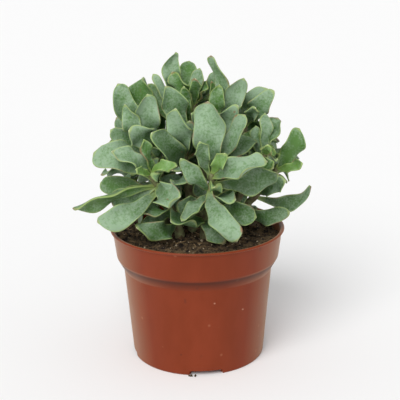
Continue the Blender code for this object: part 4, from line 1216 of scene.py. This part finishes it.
def make_litter(look):
    """What lies loose on the soil: peat crumbs, pale grit and dry fibres, each sort one piece."""
    draw = random.Random(LITTER_SEED)
    pieces = []
    for name, make, count, material in (
            ("soil_crumbs", crumb(look.crumb_size / MM, CRUMB_FLATTEST), look.crumbs, peat(look)),
            ("soil_grit", crumb(GRIT_SIZE, GRIT_FLATTEST), look.grit_pieces, pale_grit(look)),
            ("soil_straws", straw, look.straws, dry_straw(look))):
        bm = bmesh.new()
        scatter(bm, draw, make, count)
        bmesh.ops.recalc_face_normals(bm, faces=bm.faces)
        pieces.append(piece_of(bm, name, material))

    # Crumbs that fell by the foot, beside the front notch
    bm = bmesh.new()
    for _ in range(FALLEN_CRUMBS):
        radius = draw.uniform(*FALLEN_RADII)
        bearing = FALLEN_BEARING + draw.uniform(-FALLEN_SPREAD, FALLEN_SPREAD)
        out = FOOT_RADIUS + radius + draw.uniform(*FALLEN_AWAY)
        place = Matrix.Translation((out * math.cos(bearing), out * math.sin(bearing), radius))
        lump = bmesh.ops.create_icosphere(bm, subdivisions=1, radius=radius, matrix=place)
        for v in lump["verts"]:
            v.co += Vector([draw.uniform(*LUMP_ROUGHNESS) * radius for _ in range(2)] + [0])
    bmesh.ops.recalc_face_normals(bm, faces=bm.faces)
    pieces.append(piece_of(bm, "fallen_crumbs", peat(look)))
    return pieces


def grow_leaf(bm, leaf, tints, look):
    """A leaf from a fine sphere: each point keeps its place from root to tip and round the blade. The
    section is flat in the middle with full, rounded margins, and the tip ends in a small point."""
    sphere = bmesh.ops.create_uvsphere(bm, u_segments=look.sides, v_segments=look.rings + 1, radius=1)
    made = sphere["verts"]
    along, cosine, sine = sphere_pattern(made)
    across = np.sign(cosine) * np.abs(cosine) ** MARGIN_FULLNESS
    over = np.sign(sine) * np.abs(sine) ** FLATNESS
    points = blade(leaf, along, across, over)
    ahead = np.array(leaf["ahead"])
    u = spread(along)
    half = leaf["width"] / 2 * outline(leaf, u)
    inset = np.minimum((1 - np.abs(across)) * half, (1 - u) * leaf["length"])
    bloom, youth, tone = tints
    layers = {name: bm.verts.layers.float[name] for name in LEAF_LAYERS}
    for k, v in enumerate(made):
        v.co = Vector((points[k] + ahead * POINT_LENGTH * (along[k] > 0.999)).tolist())
        v[layers["inset"]] = inset[k]
        v[layers["along"]] = along[k]
        v[layers["bloom"]] = bloom
        v[layers["youth"]] = youth * (1 - 0.5 * along[k])
        v[layers["tone"]] = tone


def grow_stem(bm, points):
    """A stem from a fine sphere, drawn out along its run and knobbly with old leaf scars."""
    sphere = bmesh.ops.create_uvsphere(bm, u_segments=FINE_STEM_SIDES, v_segments=FINE_STEM_RINGS, radius=1)
    made = sphere["verts"]
    along, cosine, sine = sphere_pattern(made)
    knobs = 1 + KNOB_HEIGHT * np.sin(along * KNOB_WAVE) * (cosine ** 2 + sine ** 2)
    placed = stem_points(points, along, cosine * knobs, sine * knobs)
    for v, place in zip(made, placed.tolist()):
        v.co = place
    for face in {f for v in made for f in v.link_faces}:
        face.material_index = 1


def tints_of(leaf, draw):
    """A leaf's bloom, youth and tone."""
    if "tint" in leaf:
        bloom, youth, tone = TINTS[leaf["tint"]]
        return bloom + draw.uniform(*TINT_BLOOM), youth, tone + draw.uniform(*TINT_TONE)
    young = smooth(YOUNG_FROM, 1.0, leaf["share"]) * draw.uniform(*DRAWN_YOUTH)
    return draw.uniform(*DRAWN_BLOOM), young, draw.uniform(*DRAWN_TONE)


def make_stems(look):
    """Every leafy stem as one piece."""
    runs, leaves = arrange()
    draw = random.Random(LITTER_SEED)
    skin, bark = leaf_skin(look), stem_bark(look)
    pieces = {}
    for name, points in runs.items():
        bm = bmesh.new()
        for layer in LEAF_LAYERS:
            bm.verts.layers.float.new(layer)
        grow_stem(bm, points)
        for leaf in leaves[name]:
            grow_leaf(bm, leaf, tints_of(leaf, draw), look)
        for face in bm.faces:
            face.smooth = True
        bmesh.ops.recalc_face_normals(bm, faces=bm.faces)
        pieces[name] = piece_of(bm, f"jade_{name}", skin, bark)
    return pieces


class JADE_OT_pot(bpy.types.Operator):
    """Build the moulded nursery pot in place of the frame's pot"""
    bl_idname = "jade.pot"
    bl_label = "Nursery pot"
    bl_options = {"REGISTER", "UNDO"}

    def execute(self, context):
        pot = make_pot(context.scene.jade_pot)
        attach(pot, "root")
        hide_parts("pot")
        return {"FINISHED"}


class JADE_OT_soil(bpy.types.Operator):
    """Build the potting soil in place of the frame's soil"""
    bl_idname = "jade.soil"
    bl_label = "Potting soil"
    bl_options = {"REGISTER", "UNDO"}

    def execute(self, context):
        soil = make_soil(context.scene.jade_soil)
        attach(soil, "root")
        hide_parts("soil")
        return {"FINISHED"}


class JADE_OT_litter(bpy.types.Operator):
    """Scatter crumbs, grit and dry fibres on the soil"""
    bl_idname = "jade.litter"
    bl_label = "Crumbs, grit and straws"
    bl_options = {"REGISTER", "UNDO"}

    def execute(self, context):
        for piece in make_litter(context.scene.jade_soil):
            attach(piece, "root")
        return {"FINISHED"}


class JADE_OT_stems(bpy.types.Operator):
    """Grow the leafy stems in place of the frame's stems"""
    bl_idname = "jade.stems"
    bl_label = "Leafy stems"
    bl_options = {"REGISTER", "UNDO"}

    def execute(self, context):
        for name, stem in make_stems(context.scene.jade_leaf).items():
            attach(stem, "root")
            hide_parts(name)
        return {"FINISHED"}


class JADE_OT_stage(bpy.types.Operator):
    """Set up the studio paper, the soft light and the camera"""
    bl_idname = "jade.stage"
    bl_label = "Studio"
    bl_options = {"REGISTER", "UNDO"}

    def execute(self, context):
        look = context.scene.jade_stage
        bm = bmesh.new()
        bmesh.ops.create_grid(bm, x_segments=1, y_segments=1, size=FLOOR_HALF)
        floor = piece_of(bm, "studio_floor", paper_floor(look))

        world = bpy.data.worlds.new("studio_room")
        world.use_nodes = True
        room = world.node_tree
        background = room.nodes["Background"]
        background.inputs["Color"].default_value = (1, 1, 1, 1)
        way = node(room, "TexCoord", gives="Generated")
        upward = node(room, "SeparateXYZ", {"Vector": way}, "Z")
        light = node(room, "MapRange", {
            "Value": upward, "From Min": HORIZON_TOP, "From Max": ROOM_FROM,
            "To Min": look.horizon_light, "To Max": look.room_light})
        room.links.new(light, background.inputs["Strength"])
        context.scene.world = world

        key = bpy.data.objects.new("key_light", bpy.data.lights.new("key_light", "SUN"))
        key.data.energy = look.key_light
        key.data.angle = KEY_SPREAD
        key.rotation_euler = KEY_TURN
        context.scene.collection.objects.link(key)

        camera = bpy.data.objects.new("camera", bpy.data.cameras.new("camera"))
        camera.data.lens = VIEW_LENS
        camera.data.sensor_width = SENSOR
        tilt = Matrix.Rotation(math.pi / 2 - VIEW_RISE, 4, "X") @ Matrix.Rotation(-VIEW_ROLL, 4, "Z")
        camera.matrix_world = Matrix.Translation(EYE * MM) @ tilt
        camera.data.clip_end = VIEW_REACH
        context.scene.collection.objects.link(camera)
        context.scene.camera = camera
        context.scene.view_settings.view_transform = "Standard"
        return {"FINISHED"}


class JADE_PT_plant(bpy.types.Panel):
    """Lists the plant's pieces and their settings"""
    bl_label = "Ripple Jade Plant"
    bl_space_type = "VIEW_3D"
    bl_region_type = "UI"
    bl_category = "Jade Plant"

    def draw(self, context):
        scene = context.scene
        for operators, settings in (
                ((JADE_OT_pot,), scene.jade_pot), ((JADE_OT_soil, JADE_OT_litter), scene.jade_soil),
                ((JADE_OT_stems,), scene.jade_leaf), ((JADE_OT_stage,), scene.jade_stage)):
            box = self.layout.box()
            for operator in operators:
                box.operator(operator.bl_idname)
            for name in settings.__annotations__:
                box.prop(settings, name)


SETTINGS = {"jade_pot": JadePotSettings, "jade_soil": JadeSoilSettings, "jade_leaf": JadeLeafSettings,
            "jade_stage": JadeStageSettings}
CLASSES = (*SETTINGS.values(), JADE_OT_pot, JADE_OT_soil, JADE_OT_litter, JADE_OT_stems, JADE_OT_stage,
           JADE_PT_plant)


def register():
    for kind in CLASSES:
        bpy.utils.register_class(kind)
    for name, kind in SETTINGS.items():
        setattr(bpy.types.Scene, name, PointerProperty(type=kind))


def unregister():
    for name in SETTINGS:
        delattr(bpy.types.Scene, name)
    for kind in reversed(CLASSES):
        bpy.utils.unregister_class(kind)


def main():
    register()
    bpy.ops.jade.stage()
    bpy.ops.jade.pot()
    bpy.ops.jade.soil()
    bpy.ops.jade.litter()
    bpy.ops.jade.stems()


if __name__ == "__main__":
    main()
